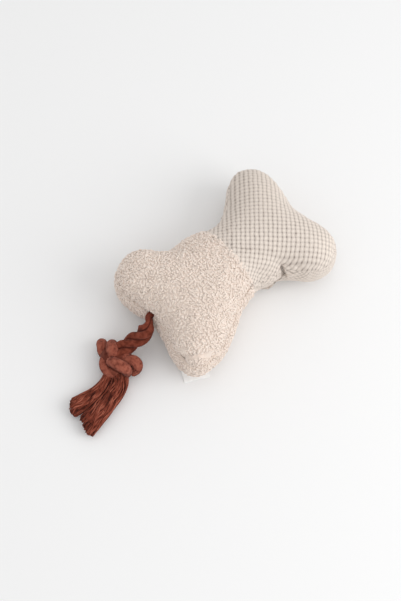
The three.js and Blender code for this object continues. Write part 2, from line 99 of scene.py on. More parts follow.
# The strands of the knot in millimetres, each point with the strand's radius there.
KNOT_STRANDS = (
    ((-105.5, 22, 5, 3.7), (-107.2, 19.7, 10, 4), (-109.1, 17, 12.8, 3.7), (-110.5, 14.8, 11.5, 3.9),
     (-110.5, 14.2, 6, 3.8)),
    ((-101.6, 14.6, 8, 4.3), (-103.3, 11.9, 14.5, 4.5), (-105.9, 8.1, 18.6, 4.6),
     (-107.7, 5.2, 16.8, 4.3), (-108.8, 2.6, 11, 4)),
    ((-98.2, 1.6, 11.5, 4.2), (-100.6, 0.4, 14.4, 4.2), (-103, -1.4, 15, 4.2), (-105.4, -2.2, 9.5, 4)),
    ((-105.6, -3.5, 12, 3.8), (-102.8, -5.8, 16, 4.1), (-99.6, -8.9, 17, 4.3), (-98.9, -12, 14.4, 4.3),
     (-100.6, -12.9, 9.5, 4.2), (-104, -11.6, 6, 4)),
    ((-112.8, 3.2, 13, 3.8), (-111.9, -0.2, 19, 4.2), (-110.8, -5, 21.2, 4.4),
     (-109.2, -9, 19.8, 4.4), (-107.9, -10.8, 14.5, 4.1), (-108.2, -9.9, 7.5, 3.9)),
    ((-109.2, 11, 7, 3.8), (-113.5, 8.3, 11, 4), (-116.7, 5.2, 12.3, 4.1), (-118.2, 1.3, 12.3, 4.1),
     (-117.1, -3, 11.3, 4.1), (-113.4, -6.4, 9, 4.1), (-108.6, -9.2, 7, 4)),
    ((-103, -6.4, 4.6, 4.3), (-99.2, 0, 4.6, 4.3), (-99.2, 8, 4.6, 4.3), (-102.4, 14.4, 4.6, 4.3),
     (-107.2, 19.2, 4.4, 4)),
)
KNOT_CORE = (-108.5, 2.5, 10.4)
# The two frayed tails in millimetres, each point with its half width and half height.
TAILS = {
    "rope_tail_right": ((-112.4, -7.6, 8.6, 6.4, 5), (-116.6, -12, 8.4, 7, 5.6),
                        (-123.1, -15.5, 8, 7.2, 5.6), (-132.6, -17.8, 7.4, 7.3, 5.6),
                        (-142.4, -19.4, 6.9, 7.8, 5.4), (-152.2, -20.4, 6.2, 8.5, 5),
                        (-160.4, -21, 5.2, 9.3, 4.4)),
    "rope_tail_left": ((-117.7, -1.6, 7.8, 4.4, 5), (-124, -4.5, 7.6, 4.6, 5.2),
                       (-131.3, -6.2, 7, 5.4, 5.2), (-139.1, -6.3, 6.6, 6.2, 5),
                       (-146.3, -4.9, 6.1, 6.9, 4.8), (-151.8, -3.6, 5.6, 7.5, 4.5),
                       (-157.8, -2.4, 5, 8, 4.2)),
}

# How far the longest yarns of a tail reach past its last point, how much shorter the ones at its
# two sides are, both in millimetres, and where across it the longest ones lie, from -1 to 1.
TAIL_ENDS = {"rope_tail_right": (1, 6.5, -0.5), "rope_tail_left": (1.2, 6.5, -0.4)}

# The soft crease over the end of the near fleece lobe, in plan, in millimetres.
LOBE_CREASE = ((-71.5, -10.5), (-75.3, -18), (-77.2, -24.7), (-76.8, -31.7), (-74.2, -38.2),
               (-68.5, -44.6), (-58.6, -49.3))
# The cleft where the woven waist meets its near lobe, as shares of the half length and half width.
CLEFT = (0.38, -0.66)
# How far the cloth simulation moved each side of the cover, filled in by the stuffing step.
FORM = {}
# The strength of the room's even light, and the lamps: name, place and width in metres, and watts.
ROOM_LIGHT = 0.77
LAMPS = (("key", (0.5, -0.9, 0.68), 0.9, 6.6), ("top", (0.2, -0.1, 1.9), 1.9, 3.4))


# Numbers and arrays


def linear(text):
    """A colour written as sRGB hex, turned to linear red, green, blue and alpha."""
    parts = [int(text[i:i + 2], 16) / 255 for i in (0, 2, 4)]
    parts = [c / 12.92 if c <= 0.04045 else ((c + 0.055) / 1.055) ** 2.4 for c in parts]
    return (*parts, 1.0)


def catmull(points, count, closed=False):
    """A centripetal Catmull-Rom curve through the points, at count places evenly spaced along it.

    Between two points the curve is the nested linear blend of its four nearest points over knots
    that lie the square root of the chord apart. Its arc length is then inverted by interpolation.
    """
    p = np.asarray(points, float)
    if closed:
        p = np.vstack([p[-1:], p, p[:2]])
    else:
        p = np.vstack([2 * p[0] - p[1], p, 2 * p[-1] - p[-2]])
    knots = np.concatenate([[0], np.cumsum(np.sqrt(np.linalg.norm(np.diff(p, axis=0), axis=1)))])
    fine = np.linspace(0, 1, 24, endpoint=False)
    i = np.arange(len(p) - 3)
    t = (knots[i + 1][:, None] + (knots[i + 2] - knots[i + 1])[:, None] * fine)[..., None]
    k = [knots[i + n][:, None, None] for n in range(4)]
    q = [p[i + n][:, None, :] for n in range(4)]
    a = [(k[n + 1] - t) / (k[n + 1] - k[n]) * q[n] + (t - k[n]) / (k[n + 1] - k[n]) * q[n + 1]
         for n in range(3)]
    b = [(k[n + 2] - t) / (k[n + 2] - k[n]) * a[n] + (t - k[n]) / (k[n + 2] - k[n]) * a[n + 1]
         for n in range(2)]
    curve = ((k[2] - t) / (k[2] - k[1]) * b[0] + (t - k[1]) / (k[2] - k[1]) * b[1]).reshape(-1, p.shape[1])
    curve = np.vstack([curve, curve[:1] if closed else p[-2:-1]])
    run = run_along(curve)
    at = np.linspace(0, run[-1], count + 1)[:-1] if closed else np.linspace(0, run[-1], count)
    return np.stack([np.interp(at, run, curve[:, n]) for n in range(p.shape[1])], -1)


def run_along(path):
    """How far along a path each of its points lies."""
    return np.concatenate([[0], np.cumsum(np.linalg.norm(np.diff(path, axis=0), axis=1))])


def full_turn(count):
    """Angles evenly spaced round one turn, in radians."""
    return np.linspace(0, 2 * np.pi, count, endpoint=False)


def unit(v):
    """Vectors along the last axis, each divided by its length."""
    return v / np.maximum(np.linalg.norm(v, axis=-1, keepdims=True), 1e-12)


def carried_frames(path):
    """Tangents and two cross directions along a path, turned as little as possible between rings.

    Each cross direction is the last one less its part along the new tangent.
    """
    tangent = unit(np.gradient(path, axis=0))
    start = np.array([0.0, 0, 1]) if abs(tangent[0, 2]) < 0.9 else np.array([0.0, 1, 0])
    across = np.empty_like(path)
    for i, direction in enumerate(tangent):
        start = unit(start - direction * (start @ direction))
        across[i] = start
    return tangent, across, np.cross(tangent, across)


def value_noise(points, size, seed):
    """Smooth noise from -1 to 1: random values on a cubic grid of one size, blended by a smooth step."""
    rng = np.random.default_rng(seed)
    cells = 32
    table = rng.uniform(-1, 1, (cells, cells, cells))
    p = np.asarray(points) / size
    low = np.floor(p).astype(int)
    f = p - low
    f = f * f * (3 - 2 * f)
    total = np.zeros(p.shape[:-1])
    for step in np.ndindex(2, 2, 2):
        x, y, z = (np.where(step[n], f[..., n], 1 - f[..., n]) for n in range(3))
        corner = tuple((low[..., n] + step[n]) % cells for n in range(3))
        total += x * y * z * table[corner]
    return total


# Meshes


def grid_quads(rows, columns, closed_rows=False, closed_columns=False):
    """The quads of a grid of rows by columns of points, each row or column joined round where closed."""
    i, j = np.meshgrid(np.arange(rows - (not closed_rows)), np.arange(columns - (not closed_columns)),
                       indexing="ij")
    a = i * columns + j
    b = i * columns + (j + 1) % columns
    c = (i + 1) % rows * columns + (j + 1) % columns
    d = (i + 1) % rows * columns + j
    return np.stack([a, b, c, d], -1).reshape(-1, 4)


def new_piece(name, points, faces, material, body, uv=None, replaced=(), smooth=True):
    """A mesh object at the origin from points in metres and lists of equal-sized faces."""
    mesh = bpy.data.meshes.new(name)
    groups = [np.asarray(group) for group in (faces if isinstance(faces, list) else [faces]) if len(group)]
    corners = np.concatenate([group.ravel() for group in groups])
    sizes = np.concatenate([np.full(len(group), group.shape[1]) for group in groups])
    starts = np.concatenate([[0], np.cumsum(sizes)[:-1]])
    mesh.vertices.add(len(points))
    mesh.vertices.foreach_set("co", np.asarray(points, np.float32).ravel())
    mesh.loops.add(len(corners))
    mesh.loops.foreach_set("vertex_index", corners.astype(np.int32))
    mesh.polygons.add(len(sizes))
    mesh.polygons.foreach_set("loop_start", starts.astype(np.int32))
    mesh.polygons.foreach_set("use_smooth", np.full(len(sizes), smooth))
    if uv is not None:
        layer = mesh.uv_layers.new(name="cloth")
        layer.data.foreach_set("uv", np.asarray(uv, np.float32)[corners].ravel())
    mesh.update(calc_edges=True)
    mesh.validate()
    piece = bpy.data.objects.new(name, mesh)
    bpy.context.scene.collection.objects.link(piece)
    mesh.materials.append(material)
    if body:
        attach(piece, body)
    if replaced:
        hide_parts(*replaced)
    return piece


def swept(path, radius, sides, squash_height=1.0, twist=0.0):
    """A closed tube as points, quads and triangles: rings along a path, with a fan at each end.

    radius is a number, one number a ring, or a ring by side array. twist turns the rings, in radians.
    """
    path = np.asarray(path, float)
    _, up, side = carried_frames(path)
    angle = full_turn(sides)[None, :] + np.asarray(twist).reshape(-1, 1)
    reach = np.asarray(radius, float).reshape(len(np.atleast_1d(radius)), -1)
    reach = np.broadcast_to(reach, (len(path), sides))
    points = (path[:, None] + (reach * np.cos(angle))[..., None] * side[:, None]
              + (reach * np.sin(angle) * squash_height)[..., None] * up[:, None]).reshape(-1, 3)
    count = len(points)
    points = np.vstack([points, path[:1], path[-1:]])
    quads = grid_quads(len(path), sides, closed_columns=True)
    ring = np.arange(sides)
    following = np.roll(ring, -1)
    last = count - sides
    first = np.stack([ring, following, np.full(sides, count)], -1)
    end = np.stack([last + ring, last + following, np.full(sides, count + 1)], -1)
    return points, quads[:, ::-1], np.vstack([first, end[:, ::-1]])


def joined(parts):
    """Several meshes, each points, quads and triangles, as one mesh's points and faces."""
    points, quads, triangles = zip(*parts)
    bases = np.cumsum([0] + [len(own) for own in points[:-1]])
    quads = [own + base for own, base in zip(quads, bases)]
    triangles = [own + base for own, base in zip(triangles, bases)]
    return np.vstack(points), [np.vstack(quads), np.vstack(triangles)]


def tubes(lines, out, up, thick, sides, squash=1.0):
    """Many small closed tubes at once, as points and faces.

    Each point of each line gets a ring of sides points, thick away from it in the plane of the two
    cross directions out and up, and squash times that along up.
    """
    count, rings = lines.shape[:2]
    angle = full_turn(sides)
    ring = np.cos(angle)[:, None] * out[:, :, None] + squash * np.sin(angle)[:, None] * up[:, :, None]
    points = lines[:, :, None] + thick[..., None, None] * ring
    base = np.arange(count)[:, None, None] * rings * sides
    quads = (grid_quads(rings, sides, closed_columns=True)[None] + base).reshape(-1, 4)
    ends = np.arange(sides)
    caps = (np.stack([ends[::-1], ends + (rings - 1) * sides])[None] + base).reshape(-1, sides)
    return points.reshape(-1, 3), [quads, caps]


def keep_above(points, height):
    """Raises in place the points that lie lower than a height over the floor."""
    points[..., 2] = np.maximum(points[..., 2], height)


def vertex_values(mesh, attribute):
    """The place or the normal of each vertex of a mesh."""
    values = np.empty(len(mesh.vertices) * 3)
    mesh.vertices.foreach_get(attribute, values)
    return values.reshape(-1, 3)


def box_corners(name):
    """The low and high corner of a CAD node's box, as arrays."""
    low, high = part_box(name)
    return np.array(low), np.array(high)


# Materials


def add_node(tree, kind, settings=(), **links):
    """One shader node with its properties or socket values, and links from other nodes' outputs.

    A link's key is the socket's name, or the letter i and the socket's number.
    """
    node = tree.nodes.new(kind)
    for key, value in dict(settings).items():
        if isinstance(key, str) and hasattr(node, key):
            setattr(node, key, value)
        else:
            node.inputs[key].default_value = value
    for key, output in links.items():
        name = int(key[1:]) if key[0] == "i" and key[1:].isdigit() else key.replace("_", " ")
        tree.links.new(output, node.inputs[name])
    return node


def ramp(tree, factor, stops):
    """A colour ramp between hex colours at given places."""
    node = add_node(tree, "ShaderNodeValToRGB", Fac=factor)
    for place, _ in stops[2:]:
        node.color_ramp.elements.new(place)
    for element, (place, text) in zip(node.color_ramp.elements, sorted(stops)):
        element.position = place
        element.color = linear(text)
    return node.outputs["Color"]


def cloth_material(name, colour, normal, **values):
    """A Principled material of woven or spun fibre: no metal, high roughness and some sheen."""
    material = bpy.data.materials.new(name)
    material.use_nodes = True
    tree = material.node_tree
    shader = tree.nodes["Principled BSDF"]
    shader.inputs["Roughness"].default_value = 0.9
    shader.inputs["Specular IOR Level"].default_value = 0.25
    for key, value in values.items():
        shader.inputs[key.replace("_", " ")].default_value = value
    tree.links.new(colour(tree), shader.inputs["Base Color"])
    tree.links.new(normal(tree), shader.inputs["Normal"])
    return material


def noise(tree, millimetres, detail=2.0, roughness=0.5, place=None, output="Fac"):
    """Noise whose features are about that many millimetres across, on Object coordinates if no other."""
    if place is None:
        place = add_node(tree, "ShaderNodeTexCoord").outputs["Object"]
    settings = {"Scale": 1 / (millimetres * MM), "Detail": detail, "Roughness": roughness}
    return add_node(tree, "ShaderNodeTexNoise", settings, Vector=place).outputs[output]


def grain(millimetres, detail, depth_mm, strength):
    """What gives a material the bump of a fine noise, with its size and depth in millimetres."""
    def normal(tree):
        settings = {"Strength": strength, "Distance": depth_mm * MM}
        height = noise(tree, millimetres, detail)
        return add_node(tree, "ShaderNodeBump", settings, Height=height).outputs["Normal"]

    return normal


def cloth_uv(tree):
    """The coordinates of a piece's own UV map."""
    return add_node(tree, "ShaderNodeUVMap", {"uv_map": "cloth"}).outputs["UV"]


def maths(tree, operation, first, second):
    """The result of a Math node on an output and either a number or another output."""
    if isinstance(second, float):
        return add_node(tree, "ShaderNodeMath", {"operation": operation, 1: second}, i0=first).outputs[0]
    return add_node(tree, "ShaderNodeMath", {"operation": operation}, i0=first, i1=second).outputs[0]


def eased(tree, value, start, stop, low, high):
    """A value between start and stop, taken by a smooth step to one between low and high."""
    settings = {"interpolation_type": "SMOOTHSTEP", "From Min": start, "From Max": stop,
                "To Min": low, "To Max": high}
    return add_node(tree, "ShaderNodeMapRange", settings, Value=value).outputs["Result"]


def sherpa_material(name, colours):
    """Sherpa fleece: brushed polyester curls, matt and soft, whose colour drifts a little between them."""
    def colour(tree):
        return ramp(tree, noise(tree, 9, 5, 0.62), [(0.35, colours[0]), (0.65, colours[1])])

    return cloth_material(name, colour, grain(0.5, 2, 0.25, 0.6), Roughness=0.95, Sheen_Weight=0.55,
                          Sheen_Roughness=0.6)


def woven_material(sizes, colours):
    """Chunky basket weave on the cloth's own UV map, in metres along its two yarn directions.

    Each cell carries a painted highlight at its middle and painted shade towards the grooves, where the
    yarns dip, and it is dark where two grooves cross, partly a darker yarn beneath and partly painted shade.
    The yarns are a little uneven, so the pattern is pulled about by noise.
    """
    pitch_u, pitch_v = sizes.weave_pitch_across, sizes.weave_pitch_along
    yarn_waver = 1.4 * MM
    across_shade, along_shade = 0.46, 0.27

    def groove(tree, coordinate, pitch, width):
        """One in the middle of each groove, and 0 from width cells away from it."""
        cells = maths(tree, "MULTIPLY", coordinate, 1 / pitch)
        return eased(tree, maths(tree, "PINGPONG", cells, 0.5), 0.0, width, 1.0, 0.0)

    def colour(tree):
        waver = noise(tree, 4, output="Color")
        pulled = add_node(tree, "ShaderNodeVectorMath", {"operation": "MULTIPLY_ADD", 1: (yarn_waver,) * 3},
                          i0=waver, i2=cloth_uv(tree))
        parts = add_node(tree, "ShaderNodeSeparateXYZ", Vector=pulled.outputs["Vector"])
        u, v = parts.outputs["X"], parts.outputs["Y"]
        corner = maths(tree, "MULTIPLY", groove(tree, u, pitch_u, 0.32), groove(tree, v, pitch_v, 0.5))
        across = maths(tree, "MULTIPLY", groove(tree, u, pitch_u, 0.45), across_shade)
        along = maths(tree, "MULTIPLY", groove(tree, v, pitch_v, 0.5), along_shade)
        # Painted shade grows towards the grooves and is deepest where two cross, on top of the darker yarn
        # there.
        dark = maths(tree, "MAXIMUM", corner, maths(tree, "MAXIMUM", across, along))
        drift = add_node(tree, "ShaderNodeMapRange", {"To Min": 0.6, "To Max": 1.25}, Value=noise(tree, 2.5))
        shade_and_dips = maths(tree, "MULTIPLY", dark, drift.outputs["Result"])
        return ramp(tree, shade_and_dips, [(0.0, colours[0]), (1.0, colours[2]), (0.4, colours[1])])

    return cloth_material("woven_basket_cloth", colour, grain(0.45, 2, 0.15, 0.7), Roughness=0.88,
                          Sheen_Weight=0.1)


def cotton_material(name, colour):
    """Dyed twisted cotton: matt, with hardly any sheen."""
    return cloth_material(name, colour, grain(0.6, 3, 0.3, 0.8), Roughness=0.95, Sheen_Weight=0.06,
                          Sheen_Roughness=0.5, Specular_IOR_Level=0.1)


def rope_material(name, colours, shade=0.0):
    """Dyed cotton rope, whose colour drifts by noise between three tones.

    Where shade is more than 0, the UV map tells how near a place is to where shade falls, the groove between
    two strands of the rope and the underside of each bight of the knot, and shade is how far it takes on the
    darkest colour there as painted shade.
    """
    def colour(tree):
        drift = noise(tree, 3.5, 4, 0.6)
        shades = ramp(tree, drift, [(0.25, colours[0]), (0.75, colours[2]), (0.5, colours[1])])
        if not shade:
            return shades
        crest = add_node(tree, "ShaderNodeSeparateXYZ", Vector=cloth_uv(tree)).outputs["Y"]
        with_painted_shade = add_node(tree, "ShaderNodeMix", {"data_type": "RGBA", 7: linear(colours[0])},
                          i0=eased(tree, crest, 0.68, 1.0, 0.0, shade), i6=shades)
        return with_painted_shade.outputs[2]

    return cotton_material(name, colour)


def yarn_material(name, colours):
    """Loose dyed cotton yarns, each yarn a little lighter or deeper than the next.

    The piece's UV map holds metres along the yarn and, across it, one step of 25 mm for each yarn.
    """
    def colour(tree):
        drift = noise(tree, 14, 3.0, place=cloth_uv(tree))
        return ramp(tree, drift, [(0.34, colours[0]), (0.66, colours[2]), (0.5, colours[1])])

    return cotton_material(name, colour)


def plain_material(name, low, high, grain_mm, **values):
    """A material with one gentle drift of colour and a fine bump, for thread, tape, fill and plastic."""
    def colour(tree):
        return ramp(tree, noise(tree, grain_mm), [(0.3, low), (0.7, high)])

    return cloth_material(name, colour, grain(grain_mm / 4, 2.0, 0.1, 0.5), **values)


# Properties


def in_mm(name, description, millimetres):
    """A length in the sidebar, given in millimetres and kept in metres."""
    return bpy.props.FloatProperty(name=name, description=description, default=millimetres * MM,
                                   unit="LENGTH")


def in_degrees(name, description, degrees):
    """A direction in the sidebar, given in degrees."""
    return bpy.props.FloatProperty(name=name, description=description, default=math.radians(degrees),
                                   unit="ROTATION")


def how_many(name, description, count):
    """A number of things in the sidebar."""
    return bpy.props.IntProperty(name=name, description=description, default=count, min=1)


def hex_colour(name, description, text):
    """A colour in the sidebar, as sRGB hex."""
    return bpy.props.StringProperty(name=name, description=description, default=text)


class ToySizes(bpy.types.PropertyGroup):
    """Sizes of the stuffed bone, in metres."""

    half_length: in_mm("Half length", "Half of the seam outline's drawn length", 80)
    half_width: in_mm("Half width", "Half of the seam outline's drawn width", 57)
    rounding: in_mm("Rim rounding", "How far in from the seam the cover reaches full height", 30)
    upper_bulge: in_mm("Upper bulge", "How far the upper panels swell past the seam", 1.2)
    lower_bulge: in_mm("Lower bulge", "How far the lower panels swell past the seam", 8)
    floor_press: in_mm("Floor press", "How much deeper the lower side would be without the floor", 2.5)
    pile: in_mm("Pile", "Height of the fleece's curls over their own feet", 1.2)
    curl: in_mm("Curl", "Radius of one curl of the fleece", 0.42)
    curl_yarn: in_mm("Curl yarn", "Half thickness of the fibre lock in a curl", 1.08)
    curls_per_panel: how_many("Curls", "Number of curls on each fleece panel", 4300)
    weave_pitch_across: in_mm("Weave pitch across", "Width of one cell of the weave", 3.46)
    weave_pitch_along: in_mm("Weave pitch along", "Height of one cell of the weave", 3.27)
    weave_relief: in_mm("Weave relief", "How far a cell of the weave stands over its grooves", 0.55)
    weave_turn: in_degrees("Weave turn", "Direction of the upper cells' rows from the length", -42.5)
    weave_turn_below: in_degrees("Weave turn below", "Direction of the lower cells' rows", 0)


class RopeSizes(bpy.types.PropertyGroup):
    """Sizes of the rope, knot and tails, in metres."""

    radius: in_mm("Rope radius", "Half of the thickness that the rope is sold by", 6)
    lay: in_mm("Lay", "Length in which a strand goes once round", 37)
    yarn: in_mm("Yarn radius", "Half thickness of a yarn in the frayed tails", 0.58)
    yarns: how_many("Yarns", "Number of yarns in each frayed tail", 126)


class ToyColours(bpy.types.PropertyGroup):
    """Colours as sRGB hex, from light or raised to dark or deep."""

    fleece_light: hex_colour("Fleece light", "Paler curls", "F2E3D7")
    fleece_dark: hex_colour("Fleece dark", "Deeper curls", "E8D7CA")
    # The backing is painted darker than the curls: painted shade in the gaps between curls and along the
    # crease, where curls are cleared.
    fleece_backing_with_shade: hex_colour("Fleece deep", "Backing", "E5D5C9")
    # The woven colours carry painted light: the raised cells' colour is the cream yarn with a painted
    # highlight, the colour beside the grooves is painted shade, and the dips' colour is a darker yarn
    # beneath with painted shade.
    woven_cream_and_highlight: hex_colour("Woven light", "Raised cells", "EADFD5")
    woven_groove_shade: hex_colour("Woven middle", "Beside the grooves", "C6BAB0")
    woven_dip_yarn_and_shade: hex_colour("Woven dark", "Dips", "6E625A")
    # The rope, knot and loose yarns are one cotton: the knot's colours are painted paler as a lit copy, and
    # the rope's and the yarns' darker as a shaded copy. The rope's darkest colour is also painted shade in
    # the grooves between strands and under the knot's bights.
    rope_shaded_pale: hex_colour("Rope light", "Raised yarns", "924C3C")
    rope_shaded_middle: hex_colour("Rope middle", "Most of the rope", "7A3C2C")
    rope_shaded_dark: hex_colour("Rope dark", "Between the yarns", "4C1C12")
    knot_lit_pale: hex_colour("Knot light", "Rubbed bights", "A86450")
    knot_lit_middle: hex_colour("Knot middle", "Most of the knot", "925040")
    yarn_light: hex_colour("Yarn light", "Paler loose yarns", "AC6450")
    yarn_middle: hex_colour("Yarn middle", "Most loose yarns", "7A3A2A")
    yarn_dark: hex_colour("Yarn dark", "Deeper loose yarns", "3C160E")


# The stuffed cover


def outline(sizes, count):
    """The seam outline at count places and its outward normals, moved so that the cover is centred."""
    shares = np.array(OUTLINE_SHARES) * (sizes.half_length, sizes.half_width)
    rim = catmull(shares, count, closed=True)
    for _ in range(2):
        rim = (np.roll(rim, 1, 0) + 2 * rim + np.roll(rim, -1, 0)) / 4
    span = round(count / NORMAL_SPAN)
    along = unit(np.roll(rim, -span, 0) - np.roll(rim, span, 0))
    normals = np.stack([along[:, 1], -along[:, 0]], -1)
    less_on_woven = np.where(rim[:, :1] > CROSS_X, 1.5 * MM, 0)
    reach = rim + normals * (sizes.lower_bulge - less_on_woven)
    rim = rim - (reach.min(0) + reach.max(0)) / 2
    return rim, normals


def depth_inside(points, rim):
    """Distance from each point in plan to the outline, the least over its straight pieces."""
    flat = points.reshape(-1, 2)
    a, b = rim, np.roll(rim, -1, 0)
    step = b - a
    best = np.full(len(flat), np.inf)
    for start in range(0, len(flat), 4096):
        p = flat[start:start + 4096, None]
        along = np.clip(((p - a) * step).sum(-1) / (step ** 2).sum(-1), 0, 1)
        near = a + along[..., None] * step
        best[start:start + 4096] = np.linalg.norm(p - near, axis=-1).min(1)
    return best.reshape(points.shape[:-1])


def membrane(rim):
    """A grid over the plan with the height of an evenly loaded membrane held at the outline.

    The height is relaxed until each cell is the mean of its neighbours plus a constant load. The
    root of twice that height is what is kept: it is a circle's cross-section on a straight strip.
    """
    cell = 2 * MM
    passes = 1500
    low = rim.min(0) - 2 * cell
    shape = np.ceil((rim.max(0) - low) / cell).astype(int) + 3
    gx, gy = np.meshgrid(*(low[n] + cell * np.arange(shape[n]) for n in range(2)), indexing="ij")
    crossings = np.zeros(gx.shape, int)
    for p, q in zip(rim, np.roll(rim, -1, 0)):
        if p[1] == q[1]:
            continue
        spans = (gy > min(p[1], q[1])) & (gy <= max(p[1], q[1]))
        cut = p[0] + (gy - p[1]) * (q[0] - p[0]) / (q[1] - p[1])
        crossings += spans & (cut > gx)
    inside = crossings % 2 == 1
    height = np.zeros(gx.shape)
    for _ in range(passes):
        height[1:-1, 1:-1] = (height[2:, 1:-1] + height[:-2, 1:-1] + height[1:-1, 2:] + height[1:-1, :-2]
                              + cell ** 2) / 4
        height *= inside
    return low, cell, np.sqrt(2 * height)


def sampled(field, points):
    """Bilinear lookup of a membrane field at points in plan."""
    low, cell, values = field
    p = (points - low) / cell
    i = np.clip(np.floor(p).astype(int), 0, np.array(values.shape) - 2)
    f = p - i
    x, y = i[..., 0], i[..., 1]
    return (values[x, y] * (1 - f[..., 0]) * (1 - f[..., 1]) + values[x + 1, y] * f[..., 0] * (1 - f[..., 1])
            + values[x, y + 1] * (1 - f[..., 0]) * f[..., 1] + values[x + 1, y + 1] * f[..., 0] * f[..., 1])


def pillow_grid(sizes, rings, count, upper):
    """One side of the stuffed bone as rings by rim points, from the seam inwards.

    In plan each ring is the outline drawn in, X to the share to the power 0.6 and Y by the share.
    The height rises from the seam as a quarter ellipse of the distance to the outline. Further in
    it is blended half and half with a membrane's height, eased off near its top, and the whole is
    then smoothed. The side swells outwards below its full height.
    """
    seam_band = 4 * MM
    inward_power, membrane_scale, flatness = 0.6, 1.06, 6
    smoothings = 30
    rim, normals = outline(sizes, count)
    share = 1 - np.linspace(0, 1, rings + 1)[:-1, None] ** 1.5
    plan = np.stack([rim[:, 0] * share ** inward_power, rim[:, 1] * share], -1)
    depth = depth_inside(plan, rim[::4])
    depth[0] = 0
    left = 1 - np.clip(depth / sizes.rounding, 0, 1)
    edge = np.sqrt(1 - left ** 2)
    arch = sampled(membrane(rim[::4]), plan) / sizes.rounding
    arch = arch / (1 + np.maximum(arch, 0) ** flatness) ** (1 / flatness) * membrane_scale
    rise = np.where(depth < seam_band, edge, 0.5 * edge + 0.5 * arch)
    rise[0] = 0
    for _ in range(smoothings):
        middle = rise[2:-1].copy()
        middle += rise[1:-2] + rise[3:] + np.roll(rise[2:-1], 1, 1) + np.roll(rise[2:-1], -1, 1)
        rise[2:-1] = middle / 5
    bulge = (sizes.upper_bulge if upper else sizes.lower_bulge) * 2 * left * edge
    plan = plan + normals * bulge[..., None]
    if upper:
        z = SEAM_Z + (TOP_Z - SEAM_Z) * rise
    else:
        z = np.maximum(SEAM_Z - (SEAM_Z + sizes.floor_press) * rise, 0)
    return np.concatenate([plan, z[..., None]], -1), normals


def grid_normals(grid, upper):
    """Outward unit normals of a rings by rim points grid."""
    around = np.roll(grid, -1, 1) - np.roll(grid, 1, 1)
    inward = np.gradient(grid, axis=0)
    normal = unit(np.cross(around, inward))
    return normal if upper else -normal


def flat_places(grid, outwards, lean):
    """Where each grid point lay in the flat cloth, by steps of true length from the middle outwards.

    A step's direction is its own in plan, plus lean times the rim's outward normal by how steep the
    step is, so that cloth which turns back towards the seam still runs on outwards.
    """
    reverse = grid[::-1]
    step = np.diff(reverse, axis=0)
    length = np.linalg.norm(step, axis=-1, keepdims=True)
    slope = step / np.maximum(length, 1e-9)
    flat = unit(slope[..., :2] + lean * np.abs(slope[..., 2:]) * outwards) * length
    return np.concatenate([reverse[:1, :, :2], reverse[:1, :, :2] + np.cumsum(flat, axis=0)])[::-1]


def turned_coordinates(place, turn):
    """Flat places given along and across a direction."""
    c, s = math.cos(turn), math.sin(turn)
    return np.stack([place[..., 0] * c + place[..., 1] * s, -place[..., 0] * s + place[..., 1] * c], -1)


def unfolded(edge, distance, outwards, here):
    """Where each point of a lower side lies if the upper side's cloth ran on over the seam.

    It is the seam's own place on the upper side, plus the distance from the seam in one direction,
    the mean of the seam's outward normals where here is true.
    """
    direction = unit(outwards[here].mean(0))
    return edge[None] + distance[..., None] * direction


def beside_cleft(sizes, grid):
    """Distance in plan from the cleft, along the toy, and whether a point is on the near side."""
    near_side = -10 * MM
    return grid[..., 0] - CLEFT[0] * sizes.half_length, grid[..., 1] < near_side


def bell(distance, width):
    """A bell curve: 1 at no distance, and 0.37 at the width."""
    return np.exp(-(distance / width) ** 2)


def seam_shaping(sizes, grid, normal, distance):
    """The grid with its edge drawn in along the seam, and small puckers that fade away from it.

    The draw is less on the woven side, and on its near edge the stuffing fills the seam out instead.
    At the cleft the cloth is pinched in along a short line that crosses the seam.
    """
    lobe_end = 66 * MM
    pinch_depth, pinch_width = 4.4 * MM, 1.1 * MM
    pucker_depth, pucker_band = 0.3 * MM, 4 * MM
    turn = full_turn(grid.shape[1])[None]
    past, near = beside_cleft(sizes, grid)
    woven = grid[..., 0] > CROSS_X
    smooth = woven & near & (grid[..., 0] < lobe_end)
    depth = np.where(smooth, -0.9 * MM, np.where(woven, 0.9 * MM, 2.0 * MM))
    wide = np.where(smooth, 3.2 * MM, np.where(woven, 1.3 * MM, 1.7 * MM))
    draw = depth * bell(distance, wide)
    ripple = np.sin(67 * turn + 1.5 * np.sin(9 * turn)) * np.sin(5 * turn + 0.7)
    pucker = pucker_depth * ripple * bell(distance - pucker_band, pucker_band)
    reach = np.where(grid[..., 2] > SEAM_Z, 5 * MM, 16 * MM)
    pinch = pinch_depth * bell(past, pinch_width) * bell(distance, reach) * near * woven
    return grid + normal * (pucker - draw - pinch)[..., None]


def from_crease(points):
    """Distances in plan from each point to 50 places along LOBE_CREASE."""
    line = catmull(np.array(LOBE_CREASE) * MM, 50)
    return np.linalg.norm(points[..., None, :2] - line, axis=-1)


def creased(grid, normal):
    """The grid with a groove along LOBE_CREASE: a bell curve of the distance in plan from the line.

    The groove fades to nothing at the line's two ends, as the root of half a sine.
    """
    deepest, width = 2.8 * MM, 1.7 * MM
    away = from_crease(grid)
    fade = np.sqrt(np.sin(np.linspace(0, np.pi, away.shape[-1])))
    depth = deepest * fade[away.argmin(-1)] * bell(away.min(-1), width)
    return grid - normal * depth[..., None]


def panel(grid, keep):
    """The points and quads of a grid where keep is true for all corners, with unused points left out.

    The innermost ring is sewn shut by quads across it, each between two pairs of opposite points.
    """
    rings, count, _ = grid.shape
    quads = grid_quads(rings, count, closed_columns=True)
    inner = (rings - 1) * count
    step = np.arange(count // 2 - 1)
    across = inner + np.stack([step, step + 1, count - 2 - step, count - 1 - step], -1)
    quads = np.vstack([quads, across])
    quads = quads[keep.reshape(-1)[quads].all(1)]
    used = np.unique(quads)
    renumber = np.full(rings * count, -1)
    renumber[used] = np.arange(len(used))
    return used, renumber[quads]


